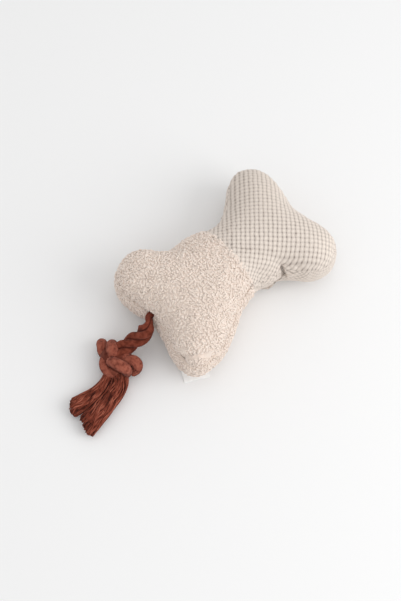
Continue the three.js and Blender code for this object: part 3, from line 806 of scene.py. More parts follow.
def thickened(points, normals, quads, wall):
    """A closed sheet: the outer points, the same points a wall inwards, and a rim between open edges."""
    count = len(points)
    inner = quads[:, ::-1] + count
    edges = np.concatenate([quads[:, [i, (i + 1) % 4]] for i in range(4)])
    keys = np.sort(edges, 1)
    _, first, times = np.unique(keys, axis=0, return_index=True, return_counts=True)
    rim = edges[first[times == 1]]
    sides = np.stack([rim[:, 1], rim[:, 0], rim[:, 0] + count, rim[:, 1] + count], -1)
    return np.vstack([points, points - normals * wall]), np.vstack([quads, inner, sides])


def stuffed(grid, upper):
    """The grid moved as the cloth simulation moved the coarse cover, blended between its points."""
    if not FORM:
        return grid
    moved = FORM[upper]
    rows = np.linspace(0, moved.shape[0] - 1, grid.shape[0])
    columns = np.arange(grid.shape[1]) * moved.shape[1] / grid.shape[1]
    i, j = np.minimum(rows.astype(int), moved.shape[0] - 2), columns.astype(int)
    f, g = (rows - i)[:, None, None], (columns - j)[None, :, None]
    next_j = (j + 1) % moved.shape[1]
    low = moved[i][:, j] * (1 - g) + moved[i][:, next_j] * g
    high = moved[i + 1][:, j] * (1 - g) + moved[i + 1][:, next_j] * g
    return grid + low * (1 - f) + high * f


def cover_base(sizes, upper, rings, count):
    """The cloth's own surface: points, outward normals, distance from the seam, flat coordinates.

    The edges of the upper and lower sides are drawn to the same line, straight in from the rim.
    """
    lowest, edge_band = 0.2 * MM, 1.2 * MM
    lean = 0 if upper else 1.5
    grid, outwards = pillow_grid(sizes, rings, count, upper)
    rim = grid[0].copy()
    grid = stuffed(grid, upper)
    normal = grid_normals(grid, upper)
    grid = grid - normal * INSET
    keep_above(grid, lowest)
    steps = np.linalg.norm(np.diff(grid, axis=0), axis=-1)
    distance = np.concatenate([np.zeros((1, count)), np.cumsum(steps, axis=0)])
    place = flat_places(grid, outwards, lean)
    flat = turned_coordinates(place, sizes.weave_turn if upper else sizes.weave_turn_below)
    if not upper:
        edge = flat_places(cover_edge_side(sizes, rings, count), outwards, 0)[0]
        past, near = beside_cleft(sizes, grid)
        waist = near[0] & (past[0] < 0) & (grid[0, :, 0] > CROSS_X)
        run_on = turned_coordinates(unfolded(edge, distance, outwards, waist), sizes.weave_turn)
        flat = np.where((near & (past < 0))[..., None], run_on, flat)
    grid = seam_shaping(sizes, grid, normal, distance)
    if upper:
        grid = creased(grid, normal)
    held = np.linalg.norm(grid[0] - rim, axis=-1, keepdims=True)
    edge = np.concatenate([rim[:, :2] - held * outwards, rim[:, 2:]], -1)
    grid = grid + (edge - grid[0]) * bell(distance, edge_band)[..., None]
    return grid, grid_normals(grid, upper), distance, flat


def cover_edge_side(sizes, rings, count):
    """The upper side as cover_base measures it, whose edge gives the seam's place in the flat cloth."""
    grid = stuffed(pillow_grid(sizes, rings, count, True)[0], True)
    return grid - grid_normals(grid, True) * INSET


def squeezes(piece):
    """Gives the piece its own copy of its mesh; nothing here flattens it, though the toy presses flat with
    the squeaker's cap, 7 mm in its 55 mm.
    """
    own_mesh(piece)


def cover_piece(name, side, shaped, normal, keep, material, replaced, flat=None):
    """Makes one panel of the cover where keep is true, and returns its outer points, normals and quads."""
    used, quads = panel(shaped, keep)
    if side == "top":
        quads = quads[:, ::-1]
    outer, outer_normals = shaped.reshape(-1, 3)[used], normal.reshape(-1, 3)[used]
    points, faces = thickened(outer, outer_normals, quads, WALL)
    keep_above(points, LOWEST)
    uv = None if flat is None else np.tile(flat.reshape(-1, 2)[used], (2, 1))
    piece = new_piece(name, points, faces, material, "toy", uv=uv, replaced=[replaced])
    squeezes(piece)
    return outer, outer_normals, quads


def blown_up(piece, most, pinned=None, pressure=4.0, slack=0.0):
    """How far Blender's cloth moves each point of a closed mesh, none further than most.

    The cloth runs for 20 frames with an inner pressure and no gravity. Slack is the share by which
    the cloth is larger than the mesh. Points numbered in pinned stay where they are.
    """
    frames = 20
    scene = bpy.context.scene
    before = vertex_values(piece.data, "co")
    cloth = piece.modifiers.new("stuffing", "CLOTH")
    cloth.settings.quality = 4
    cloth.settings.shrink_min = -slack
    cloth.settings.use_pressure = True
    cloth.settings.uniform_pressure_force = pressure
    cloth.settings.effector_weights.gravity = 0
    cloth.point_cache.frame_start = 1
    cloth.point_cache.frame_end = frames
    if pinned is not None:
        group = piece.vertex_groups.new(name="held")
        group.add([int(i) for i in pinned], 1.0, "REPLACE")
        cloth.settings.vertex_group_mass = "held"
    for step in range(1, frames + 1):
        scene.frame_set(step)
    result = piece.evaluated_get(bpy.context.evaluated_depsgraph_get())
    moved = vertex_values(result.data, "co") - before
    piece.modifiers.remove(cloth)
    scene.frame_set(1)
    far = np.linalg.norm(moved, axis=1, keepdims=True)
    return moved * np.minimum(1, most / np.maximum(far, 1e-9))


class DOGTOY_OT_stuffing(bpy.types.Operator):
    """Cloth simulation of the whole stuffed cover, held at its seam, whose result shapes the panels"""

    bl_idname = "dogtoy.stuffing"
    bl_label = "Stuffing"

    def execute(self, context):
        FORM.clear()
        self.simulate(context.scene.toy_sizes)
        return {"FINISHED"}

    def simulate(self, sizes):
        """Blows up both sides as one coarse closed mesh, and keeps in FORM how far its points moved.

        The mesh starts a little inside the pillow. Its innermost rings go straight up or down in
        it, and are moved together at the end, by their mean.
        """
        rows, columns = 14, 100
        row_step, column_step = 5, 8
        innermost, fade_rows = 5, 3
        inset = 0.8 * MM
        inner = np.clip((np.arange(rows) - rows + innermost) / fade_rows, 0, 1)[:, None, None]
        sides = {}
        for upper in (True, False):
            grid, _ = pillow_grid(sizes, row_step * (rows - 1) + 1, column_step * columns, upper)
            grid = grid[::row_step, ::column_step]
            upright = np.array([0, 0, 1 if upper else -1])
            outwards = unit(grid_normals(grid, upper) * (1 - inner) + upright * inner) * inset
            outwards[0] = 0
            sides[upper] = (grid, grid - outwards)
        top, bottom = sides[True][1].reshape(-1, 3), sides[False][1][1:].reshape(-1, 3)
        middles = np.stack([side[1][-1].mean(0) for side in (sides[True], sides[False])])
        points = np.vstack([top, bottom, middles])
        quads = grid_quads(rows, columns, closed_columns=True)
        ring = np.arange(columns)
        shift = rows * columns - columns
        below = np.where(quads < columns, quads, quads + shift)[:, ::-1]
        fans = []
        for last, middle in ((shift, len(points) - 2), (2 * shift, len(points) - 1)):
            fans.append(np.stack([last + ring, last + np.roll(ring, -1), np.full(columns, middle)], -1))
        faces = [np.vstack([quads, below]), np.vstack([fans[0], fans[1][:, ::-1]])]
        form = new_piece("coarse_cover", points, faces, bpy.data.materials.new("cover_form"), "toy")
        moved = blown_up(form, most=2 * MM, pinned=ring, pressure=60, slack=0.004)
        bpy.data.objects.remove(form)
        for upper in (True, False):
            start = 0 if upper else shift
            own = moved[start:start + rows * columns].reshape(rows, columns, 3).copy()
            if not upper:
                own[0] = moved[:columns].reshape(columns, 3)
            own += sides[upper][1] - sides[upper][0]
            FORM[upper] = own * (1 - inner) + own[rows - innermost].mean(0) * inner


class DOGTOY_OT_woven(bpy.types.Operator):
    """Woven panels: basket weave in relief, drawn in at the seams"""

    bl_idname = "dogtoy.woven"
    bl_label = "Woven panels"

    def execute(self, context):
        sizes, colours = context.scene.toy_sizes, context.scene.toy_colours
        material = woven_material(sizes, (colours.woven_cream_and_highlight, colours.woven_groove_shade, colours.woven_dip_yarn_and_shade))
        squareness, lowest_share, cloth_level = 0.6, 0.45, 0.4
        flat_under, under_fleece, edge_band = 0.8 * MM, 3 * MM, 1.5 * MM
        for side in ("top", "bottom"):
            grid, normal, distance, flat = cover_base(sizes, side == "top", 80, 800)
            cells = flat / (sizes.weave_pitch_across, sizes.weave_pitch_along)
            across, along = np.moveaxis(np.abs(np.sin(np.pi * cells)) ** squareness, -1, 0)
            cell = across * (lowest_share + (1 - lowest_share) * along)
            edge = np.clip(distance / edge_band, 0, 1)
            relief = sizes.weave_relief * (cell - cloth_level) * edge
            relief = np.where(grid[..., 2] < flat_under, np.minimum(relief, 0), relief)
            shaped = grid + normal * relief[..., None]
            keep_above(shaped, LOWEST)
            cover_piece("woven_cover_" + side, side, shaped, normal, grid[..., 0] > CROSS_X - under_fleece,
                        material, "woven_panel_" + side, flat)
        return {"FINISHED"}


def curls(points, normals, sizes, seed):
    """One curl at each point: a soft nub made by a short thick lock of fibre that lies on the cloth.

    The lock's middle line goes part of the way round a small circle in the cloth's plane while it
    rises and falls as half a sine. It is thick like an egg, a little flattened towards the cloth.
    """
    rng = np.random.default_rng(seed)
    count = len(points)
    rings, sides = 6, 6
    sunk, flattened = 0.65 * MM, 0.62
    t = np.linspace(0, 1, rings)
    tangent = unit(np.cross(normals, rng.normal(size=(count, 3))))
    other = np.cross(normals, tangent)
    sweep = rng.uniform(1.8, 3.4, (count, 1))
    angle = sweep * t + rng.uniform(0, 2 * np.pi, (count, 1))
    radius = sizes.curl * rng.uniform(0.7, 1.3, (count, 1)) * (1.1 - 0.3 * t)
    lift = sizes.pile * rng.uniform(0.6, 0.9, (count, 1)) * np.sin(np.pi * (0.15 + 0.7 * t)) - sunk
    offset = (radius * np.cos(angle))[..., None] * tangent[:, None]
    offset = offset + (radius * np.sin(angle))[..., None] * other[:, None]
    middle = points[:, None] + offset + lift[..., None] * normals[:, None]
    along = unit(np.gradient(middle, axis=1))
    out = unit(np.cross(along, np.broadcast_to(normals[:, None], along.shape)))
    thick = sizes.curl_yarn * rng.uniform(0.8, 1.2, (count, 1)) * np.sin(np.pi * (0.1 + 0.8 * t)) ** 0.7
    return tubes(middle, out, np.cross(out, along), thick, sides, flattened)


def scattered(points, normals, quads, count, seed):
    """Places spread evenly by area over quads, with their normals."""
    rng = np.random.default_rng(seed)
    corners = points[quads]
    area = np.linalg.norm(np.cross(corners[:, 2] - corners[:, 0], corners[:, 3] - corners[:, 1]), axis=-1)
    total = np.cumsum(area) / area.sum()
    pick = np.searchsorted(total, (np.arange(count) + rng.uniform(0, 1, count)) / count)
    pick = np.minimum(pick, len(quads) - 1)
    u, v = rng.uniform(0, 1, (2, count, 1))
    weights = ((1 - u) * (1 - v), u * (1 - v), u * v, (1 - u) * v)
    place = sum(w * corners[pick, i] for i, w in enumerate(weights))
    facing = sum(w * normals[quads][pick, i] for i, w in enumerate(weights))
    return place, unit(facing)


class DOGTOY_OT_fleece(bpy.types.Operator):
    """Fleece panels: a lumpy backing covered in small curls"""

    bl_idname = "dogtoy.fleece"
    bl_label = "Fleece panels"

    def execute(self, context):
        sizes, colours = context.scene.toy_sizes, context.scene.toy_colours
        # The backing's colours are darker than the curls', painted shade where the backing shows between
        # them.
        backing = sherpa_material("sherpa_fleece_backing_shaded", (colours.fleece_backing_with_shade, colours.fleece_dark))
        curled = sherpa_material("sherpa_fleece_curls", (colours.fleece_dark, colours.fleece_light))
        lump, past_seam = 0.45 * MM, 0.8 * MM
        hole_radius, hole_x = 2.6 * MM, -60 * MM
        for number, side in enumerate(("top", "bottom")):
            grid, normal, distance, _ = cover_base(sizes, side == "top", 56, 480)
            lumps = value_noise(grid, 2.6 * MM, SEED + number) + 0.5 * value_noise(grid, 1.3 * MM, SEED + 3)
            shaped = grid + normal * (lump * lumps * np.clip(distance / (2 * MM), 0, 1))[..., None]
            keep_above(shaped, 0.1 * MM)
            away = np.hypot(grid[..., 1] - ROPE_ROUTE[3][1] * MM, grid[..., 2] - ROPE_ROUTE[3][2] * MM)
            hole = (away < hole_radius) & (grid[..., 0] < hole_x)
            outer, outer_normals, quads = cover_piece(
                "fleece_backing_" + side, side, shaped, normal, (grid[..., 0] < CROSS_X + past_seam) & ~hole,
                backing, "fleece_panel_" + side)
            place, facing = scattered(outer, outer_normals, quads, sizes.curls_per_panel, SEED + 20 + number)
            inside = self.curls_clear(place, side)
            place, facing = place[inside], facing[inside]
            for part, far in (("far", True), ("near", False)):
                here = (place[:, 1] > 0) == far
                points, faces = curls(place[here], facing[here], sizes, SEED + 30 + number)
                keep_above(points, 0.02 * MM)
                pile = new_piece("fleece_curls_" + side + "_" + part, points, faces, curled, "toy")
                squeezes(pile)
        return {"FINISHED"}

    def curls_clear(self, place, side):
        """Whether each place is clear of the seams, but for the rope's exit, and of the upper crease."""
        seam, exit_width, crease = 0.9 * MM, 9 * MM, 1.4 * MM
        off_seam = (np.abs(place[:, 2] - SEAM_Z) > seam) | (np.abs(place[:, 1]) < exit_width)
        # Clearing the crease bares the darker backing there, a line of painted shade along the groove.
        off_crease = (from_crease(place).min(1) > crease) | (side == "bottom")
        return (place[:, 0] < CROSS_X - 0.8 * MM) & off_seam & off_crease


# Rope, knot and tails


def laid_rope(path, radius, lay, sides=96):
    """Ring by side radii of a three-strand laid rope, its turn, and its UV map.

    The outline is that of three circles side by side, which loose laying puts a little outside the
    rope's own radius, and fine ridges along it are the yarns. The rope is drawn in to a little
    under half its thickness where the seam holds it, and swells again by a smooth step. The UV map
    holds metres along the rope, and 0 on a strand's crest to 1 in the groove between two.
    """
    looser, strand_share = 1.12, 0.525
    ridge_share, ridge_count, ridge_slant = 0.022, 33, 6
    held_length, swell_length, held_share = 2.5 * MM, 7 * MM, 0.45
    radius = looser * radius
    run = run_along(path)
    turn = 1.5 - 2 * np.pi * run / lay
    held = np.argmin(np.linalg.norm(path - np.array(ROPE_EXIT) * MM, axis=1))
    free = np.clip((run - run[held] - held_length) / swell_length, 0, 1)
    free = free * free * (3 - 2 * free)
    strand = strand_share * radius
    centre = radius - strand
    angle = full_turn(sides)[None]
    local = (angle + np.pi / 3) % (2 * np.pi / 3) - np.pi / 3
    profile = centre * np.cos(local) + np.sqrt(np.maximum(strand ** 2 - (centre * np.sin(local)) ** 2, 0))
    yarns = ridge_share * radius * np.cos(ridge_count * (angle + turn[:, None]) - ridge_slant * local)
    # crest is 0 on a strand's crest and 1 in the groove between two; the material paints shade towards 1.
    crest = np.broadcast_to(np.abs(local) / (np.pi / 3), profile.shape)
    uv = np.stack(np.broadcast_arrays(run[:, None], crest), -1).reshape(-1, 2)
    swell = held_share + (1 - held_share) * free[:, None]
    return (profile + yarns) * swell, turn, np.vstack([uv, uv[:1], uv[-1:]])


def strand_radii(run, radius, sides, seed):
    """Ring by side radii of one bight of the knot: yarns as ridges on a long twist, and soft lumps."""
    twist_length, lump_length = 26 * MM, 9 * MM
    yarn_count, yarn_slant = 13, 0.35
    angle = full_turn(sides)[None]
    twist = run[:, None] / twist_length * 2 * np.pi
    ridges = 0.035 * radius * np.cos(yarn_count * (angle + twist * yarn_slant))
    rng = np.random.default_rng(seed)
    lump = 0.03 * radius * np.sin(2 * angle + rng.uniform(0, 6) + run[:, None] / lump_length)
    return radius + ridges + lump


def under_side(points, path):
    """UV places of a swept bight: 0 on its top, and 1 from a little below its widest place down, where the
    knot's material paints shade on the underside.
    """
    out = points[:-2].reshape(len(path), -1, 3) - path[:, None]
    down = np.arccos(np.clip(unit(out)[..., 2], -1, 1)) / np.pi
    v = np.clip(down / 0.55, 0, 1).reshape(-1)
    v = np.append(v, [1, 1])
    return np.stack([np.zeros(len(v)), v], -1)


class DOGTOY_OT_rope(bpy.types.Operator):
    """Free stretch of the rope: three strands laid together, from the stop knot to the knot"""

    bl_idname = "dogtoy.rope"
    bl_label = "Rope"

    def execute(self, context):
        sizes, colours = context.scene.rope_sizes, context.scene.toy_colours
        # The rope's colours are a darker, shaded copy of the knot's, and shade=0.85 paints shade in the
        # grooves between strands.
        material = rope_material("dyed_cotton_rope_laid_shaded", (colours.rope_shaded_dark, colours.rope_shaded_middle,
                                                           colours.rope_shaded_pale), shade=0.85)
        path = catmull(np.array(ROPE_ROUTE) * MM, 170)
        radii, turn, uv = laid_rope(path, sizes.radius, sizes.lay)
        points, *faces = swept(path, radii, radii.shape[1], twist=turn)
        rope = new_piece("rope_laid", points, faces, material, "", uv=uv,
                         replaced=["rope_stretch", "rope_inner_end"])
        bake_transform(rope)
        return {"FINISHED"}


class DOGTOY_OT_knot(bpy.types.Operator):
    """Knot in the rope: its bights drawn tight over one another"""

    bl_idname = "dogtoy.knot"
    bl_label = "Knot"

    def execute(self, context):
        colours = context.scene.toy_colours
        # The knot's colours are a lit copy of the rope's cotton, painted paler, and shade=0.7 paints shade
        # on each bight's underside.
        material = rope_material("dyed_cotton_rope_knot_lit", (colours.rope_shaded_dark, colours.knot_lit_middle,
                                                           colours.knot_lit_pale), shade=0.7)
        sides = 64
        parts, uv = [], []
        for number, route in enumerate(KNOT_STRANDS):
            along = catmull(np.array(route) * MM, 60)
            path, radius = along[:, :3], along[:, 3:]
            radii = strand_radii(run_along(path), radius, sides, SEED + number)
            parts.append(swept(path, radii, sides))
            uv.append(under_side(parts[-1][0], path))
        parts.append(self.core())
        # The core's UV is all 1, so the knot's material gives it its full painted shade.
        uv.append(np.ones((len(parts[-1][0]), 2)))
        points, faces = joined(parts)
        keep_above(points, 0.1 * MM)
        new_piece("rope_knot_bights", points, faces, material, "knot", uv=np.vstack(uv),
                  replaced=["rope_knot"])
        return {"FINISHED"}

    def core(self):
        """A plain egg across the rope that fills the knot behind its bights."""
        half_length, half_width = 13 * MM, 9.5 * MM
        rings, sides = 24, 24
        line = np.array(KNOT_CORE) * MM + np.linspace(-1, 1, rings)[:, None] * np.array([0, half_length, 0])
        bulge = half_width * np.sqrt(np.maximum(1 - np.linspace(-0.99, 0.99, rings) ** 2, 0))
        return swept(line, bulge, sides)


def tail_spine(guide, reach, rings):
    """A tail's middle line and half sizes at its rings, run on by a reach past the guide's last point."""
    wider_at_end = 1.04
    last = np.array(guide[-1], float)
    ahead = unit(last[:3] - np.array(guide[-2][:3], float))
    beyond = np.concatenate([last[:3] + reach * ahead, last[3:] * wider_at_end])
    spine = catmull(np.vstack([guide, beyond]) * MM, rings)
    return spine[:, :3], spine[:, 3:]


def shortened(lines, kept):
    """Each line cut to the share of it that is kept, with as many points as before."""
    rings = lines.shape[1]
    at = (np.linspace(0, 1, rings)[None] * kept) * (rings - 1)
    low = np.minimum(np.floor(at).astype(int), rings - 2)
    share = (at - low)[..., None]
    row = np.arange(len(lines))[:, None]
    return lines[row, low] * (1 - share) + lines[row, low + 1] * share


def tail_yarns(guide, end, sizes, seed):
    """Yarns of one frayed tail along its guide, each a thin tube that keeps its place in the oval.

    The yarns lie side by side round the oval in three layers over a plain core. A yarn turns slowly
    and wavers by a slow sine of its own. It ends short of the longest ones by a distance that grows
    from where they lie to the tail's two sides.
    """
    rng = np.random.default_rng(seed)
    rings, sides = 26, 6
    layers = np.array([0.97, 0.86, 0.7])
    longest_cut, uv_step = 1.6 * MM, 25 * MM
    twist, waver_size, taper = 0.8, 0.17, 0.35
    core_share, core_squash, core_short = 0.76, 0.72, 4
    reach, shorter, longest_at = end
    middle, halves = tail_spine(guide, reach, rings)
    _, up, side = carried_frames(middle)
    whole = np.linalg.norm(np.diff(middle, axis=0), axis=1).sum()
    count = sizes.yarns
    number = np.arange(count)
    layer = layers[number % 3]
    place = 2 * np.pi * (number + rng.uniform(-0.5, 0.5, count)) / count
    t = np.linspace(0, 1, rings)[None]
    waver = waver_size * np.sin(rng.uniform(3, 11, (count, 1)) * t * 2 + rng.uniform(0, 6, (count, 1)))
    turn = place[:, None] + twist * t + waver
    out = layer[:, None] * (1 + 0.1 * t * rng.uniform(-1, 1.2, (count, 1)))
    wide = out * np.cos(turn) * (halves[None, :, 0] - sizes.yarn)
    high = out * np.sin(turn) * (halves[None, :, 1] - sizes.yarn)
    line = middle[None] + wide[..., None] * side[None] + high[..., None] * up[None]
    across_tail = layer * np.cos(turn[:, -1])
    cut = shorter * MM * (np.abs(across_tail - longest_at) / (1 + abs(longest_at))) ** 1.2
    kept = 1 - (cut + rng.uniform(0, longest_cut, count))[:, None] / whole
    line = shortened(line, kept)
    keep_above(line, sizes.yarn)
    direction = unit(np.gradient(line, axis=1))
    across = unit(np.cross(direction, np.array([0, 0, 1.0])))
    thick = sizes.yarn * rng.uniform(0.8, 1.25, (count, 1)) * (1 - taper * t ** 8)
    points, (quads, caps) = tubes(line, across, np.cross(across, direction), thick, sides)
    along = (whole * t * kept)[..., None]
    uv = np.stack(np.broadcast_arrays(along, (number * uv_step)[:, None, None]), -1).repeat(sides, 2)
    inside = slice(0, rings - core_short)
    core, core_quads, core_ends = swept(middle[inside], halves[inside, :1] * core_share, 20, core_squash)
    keep_above(core, 0.1 * MM)
    uv = np.vstack([uv.reshape(-1, 2), np.zeros((len(core), 2))])
    return np.vstack([points, core]), [quads, caps, core_quads + len(points), core_ends + len(points)], uv


class DOGTOY_OT_tails(bpy.types.Operator):
    """Two frayed tails of loose yarns that come out of the knot"""

    bl_idname = "dogtoy.tails"
    bl_label = "Tails"

    def execute(self, context):
        sizes, colours = context.scene.rope_sizes, context.scene.toy_colours
        # The loose yarns' colours sit at the rope's darker, shaded level.
        material = yarn_material("dyed_cotton_yarn", (colours.yarn_dark, colours.yarn_middle,
                                                      colours.yarn_light))
        for number, (node, guide) in enumerate(TAILS.items()):
            points, faces, uv = tail_yarns(guide, TAIL_ENDS[node], sizes, SEED + 40 + number)
            new_piece(node + "_yarns", points, faces, material, "knot", uv=uv,
                      replaced=[node])
        return {"FINISHED"}


# What is inside


def node_points(name):
    """The points and triangles of a CAD node, with points that share a place made one."""
    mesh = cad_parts[name].data
    corners = np.empty(len(mesh.loops), int)
    mesh.loops.foreach_get("vertex_index", corners)
    rounded, back = np.unique(np.round(vertex_values(mesh, "co"), 6), axis=0, return_inverse=True)
    return rounded, back.reshape(-1)[corners].reshape(-1, 3)


def set_places(mesh, place):
    """Moves a mesh's vertices to new places."""
    mesh.vertices.foreach_set("co", place.astype(np.float32).ravel())


class DOGTOY_OT_fill(bpy.types.Operator):
    """Handfuls of polyester fibre, lumpy and a little smaller than the space they fill"""

    bl_idname = "dogtoy.fill"
    bl_label = "Fill"

    def execute(self, context):
        material = plain_material("polyester_fibre_fill", "F6F4F0", "E9E6E0", 5, Sheen_Weight=0.3)
        lump, lump_size, mean_shrink, looseness = 0.5 * MM, 7 * MM, 1.1, 0.5 * MM
        for name in sorted(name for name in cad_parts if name.startswith("fill_")):
            points, triangles = node_points(name)
            wad = new_piece(name + "_wad", points, triangles, material, "toy",
                            replaced=[name])
            smaller = wad.modifiers.new("even_faces", "REMESH")
            smaller.mode = "VOXEL"
            smaller.voxel_size = 3 * MM
            with context.temp_override(object=wad, active_object=wad):
                bpy.ops.object.modifier_apply(modifier=smaller.name)
            mesh = wad.data
            place = vertex_values(mesh, "co")
            lumps = value_noise(place, lump_size, SEED + 60) - mean_shrink
            outwards = (lump * lumps - looseness)[:, None]
            set_places(mesh, place + vertex_values(mesh, "normal") * outwards)
            swollen = blown_up(wad, most=1 * MM)
            set_places(mesh, vertex_values(mesh, "co") + swollen)
            mesh.polygons.foreach_set("use_smooth", np.ones(len(mesh.polygons), bool))
            mesh.update()
            squeezes(wad)
        return {"FINISHED"}


class DOGTOY_OT_squeaker(bpy.types.Operator):
    """Squeaker and reed: moulded polythene with a folding bellows"""

    bl_idname = "dogtoy.squeaker"
    bl_label = "Squeaker"

    def execute(self, context):
        soft = plain_material("moulded_polythene", "E4EAEA", "EDF1F1", 6, Roughness=0.4)
        hard = plain_material("moulded_reed_plastic", "D8D2C4", "E2DCCF", 4, Roughness=0.45)
        for name, material in (("squeaker_base", soft), ("squeaker_cap", soft), ("reed_barrel", hard),
                               ("reed_shallot", hard), ("reed_tongue", hard)):
            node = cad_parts[name]
            node.data.materials.clear()
            node.data.materials.append(material)
        clear, fold_depth, wall = 0.4 * MM, 1.3 * MM, 1 * MM
        rows, columns = 49, 72
        low, high = box_corners("squeaker_bellows")
        middle = (low + high) / 2
        outer = (high[0] - low[0]) / 2
        t = np.linspace(0, 1, rows)
        fold = outer - clear - fold_depth * (1 - np.cos(6 * np.pi * t))
        z = low[2] + (high[2] - low[2]) * t
        profile = np.concatenate([np.stack([fold, z], -1), np.stack([fold - wall, z], -1)[::-1]])
        angle = full_turn(columns)
        across = middle[0] + profile[:, :1] * np.cos(angle)
        along = middle[1] + profile[:, :1] * np.sin(angle)
        points = np.stack([across, along, np.repeat(profile[:, 1:], columns, 1)], -1).reshape(-1, 3)
        quads = grid_quads(len(profile), columns, closed_rows=True, closed_columns=True)[:, ::-1]
        bellows = new_piece("squeaker_bellows_folds", points, quads, soft, "toy",
                            replaced=["squeaker_bellows"])
        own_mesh(bellows)
        return {"FINISHED"}


class DOGTOY_OT_trim(bpy.types.Operator):
    """Stitches of the two seams, the stop knot inside, and the blank label"""

    bl_idname = "dogtoy.trim"
    bl_label = "Stitches, stop knot and label"

    def execute(self, context):
        self.seams(context.scene.toy_sizes)
        self.stop_knot(context.scene.toy_colours)
        self.label()
        return {"FINISHED"}

    def seams(self, sizes):
        """Stitches all round inside the seam, but for the rope's exit, and round the cross seam."""
        thread = plain_material("spun_polyester_thread", "E9DFD4", "D8CDC0", 2, Roughness=0.75)
        pitch, radius = 3 * MM, 0.3 * MM
        allowance, exit_width = 4.6 * MM, 8 * MM
        inside_node, squareness = 0.5 * MM, 0.7
        rim, normals = outline(sizes, 720)
        line = np.concatenate([rim - normals * allowance, np.full((len(rim), 1), SEAM_Z)], -1)
        line = line[~((np.abs(line[:, 1] - ROPE_EXIT[1] * MM) < exit_width) & (line[:, 0] < 0))]
        low, high = box_corners("cross_seam_thread")
        angle = np.linspace(0.05, 2 * np.pi - 0.05, 200)
        circle = np.stack([np.cos(angle), np.sin(angle)], -1)
        squared = np.sign(circle) * np.abs(circle) ** squareness
        ring = (low[1:] + high[1:]) / 2 + ((high[1:] - low[1:]) / 2 - inside_node) * squared
        ring = np.concatenate([np.full((len(ring), 1), CROSS_X), ring], -1)
        for name, path in (("perimeter_seam_thread", line), ("cross_seam_thread", ring)):
            points, faces = stitches(path, pitch, radius)
            piece = new_piece(name + "_stitches", points, faces, thread, "toy",
                              replaced=[name])
            squeezes(piece)

    def stop_knot(self, colours):
        """An overhand knot in the rope's inner end, as one tube on a trefoil."""
        material = rope_material("dyed_cotton_rope_inside", (colours.rope_shaded_dark, colours.rope_shaded_middle,
                                                             colours.rope_shaded_pale))
        size, radius, tightness = 2.1 * MM, 2.4 * MM, 0.78
        low, high = box_corners("rope_stop_knot")
        t = full_turn(160)
        path = (low + high) / 2 + size * np.stack([1.1 * np.sin(3 * t), np.sin(t) + 2 * np.sin(2 * t),
                                                   np.cos(t) - 2 * np.cos(2 * t)], -1) * tightness
        points, *faces = swept(path, radius, 16)
        new_piece("rope_stop_knot_turns", points, faces, material, "toy",
                  replaced=["rope_stop_knot"])

    def label(self):
        """A blank strip of satin tape, a sheet whose inner edge bends up towards the cover.

        It is as wide as its CAD node and a little longer, and lies askew from it.
        """
        tape = plain_material("blank_satin_tape", "FFFFFF", "F8F8F6", 3, Roughness=0.5, Sheen_Weight=0.2)
        thick, longer, further_in = 0.3 * MM, 1.6 * MM, 0.5 * MM
        off_floor, waver, bend = 0.35 * MM, 0.12 * MM, 7 * MM
        askew = math.radians(14)
        rows, columns = 26, 40
        corners = np.unique(np.round(node_points("sewn_label")[0][:, :2], 6), axis=0)
        apart = corners[1:] - corners[0]
        reach = np.linalg.norm(apart, axis=1)
        width, length = np.sort(reach)[1], reach.min() + longer
        along = turned_coordinates(apart[np.argsort(reach)[1]] / width, -askew)
        v, u = np.meshgrid(np.linspace(-0.5, 0.5, rows), np.linspace(-0.5, 0.5, columns), indexing="ij")
        outward = np.array([-along[1], along[0]])
        outward = outward * np.sign(outward @ corners.mean(0))
        middle = corners.mean(0) - outward * further_in
        x = middle[0] + u * width * along[0] - v * length * along[1]
        y = middle[1] + u * width * along[1] + v * length * along[0]
        z = off_floor + waver * np.sin(7 * u + 2) * (0.5 - v) + bend * np.clip(v, 0, 1) ** 2
        top = np.stack([x, y, z + thick], -1).reshape(-1, 3)
        points, faces = thickened(top, np.array([0, 0, 1.0]), grid_quads(rows, columns), thick)
        piece = new_piece("blank_label", points, faces, tape, "toy", replaced=["sewn_label"])
        squeezes(piece)


def stitches(path, pitch, radius):
    """Short bars along a path, each a stitch with a gap after it."""
    run = run_along(path)
    starts = np.arange(0, run[-1] - pitch, pitch)
    start, stop = 0.06, 0.86
    at = starts[:, None] + pitch * np.linspace(start, stop, 5)
    line = np.stack([np.interp(at, run, path[:, i]) for i in range(3)], -1)
    direction = unit(np.gradient(line, axis=1))
    across = unit(np.cross(direction, np.array([0.13, 0.31, 0.94])))
    thick = radius * np.array([0.5, 0.9, 1, 0.9, 0.5])
    return tubes(line, across, np.cross(across, direction), thick, 6)


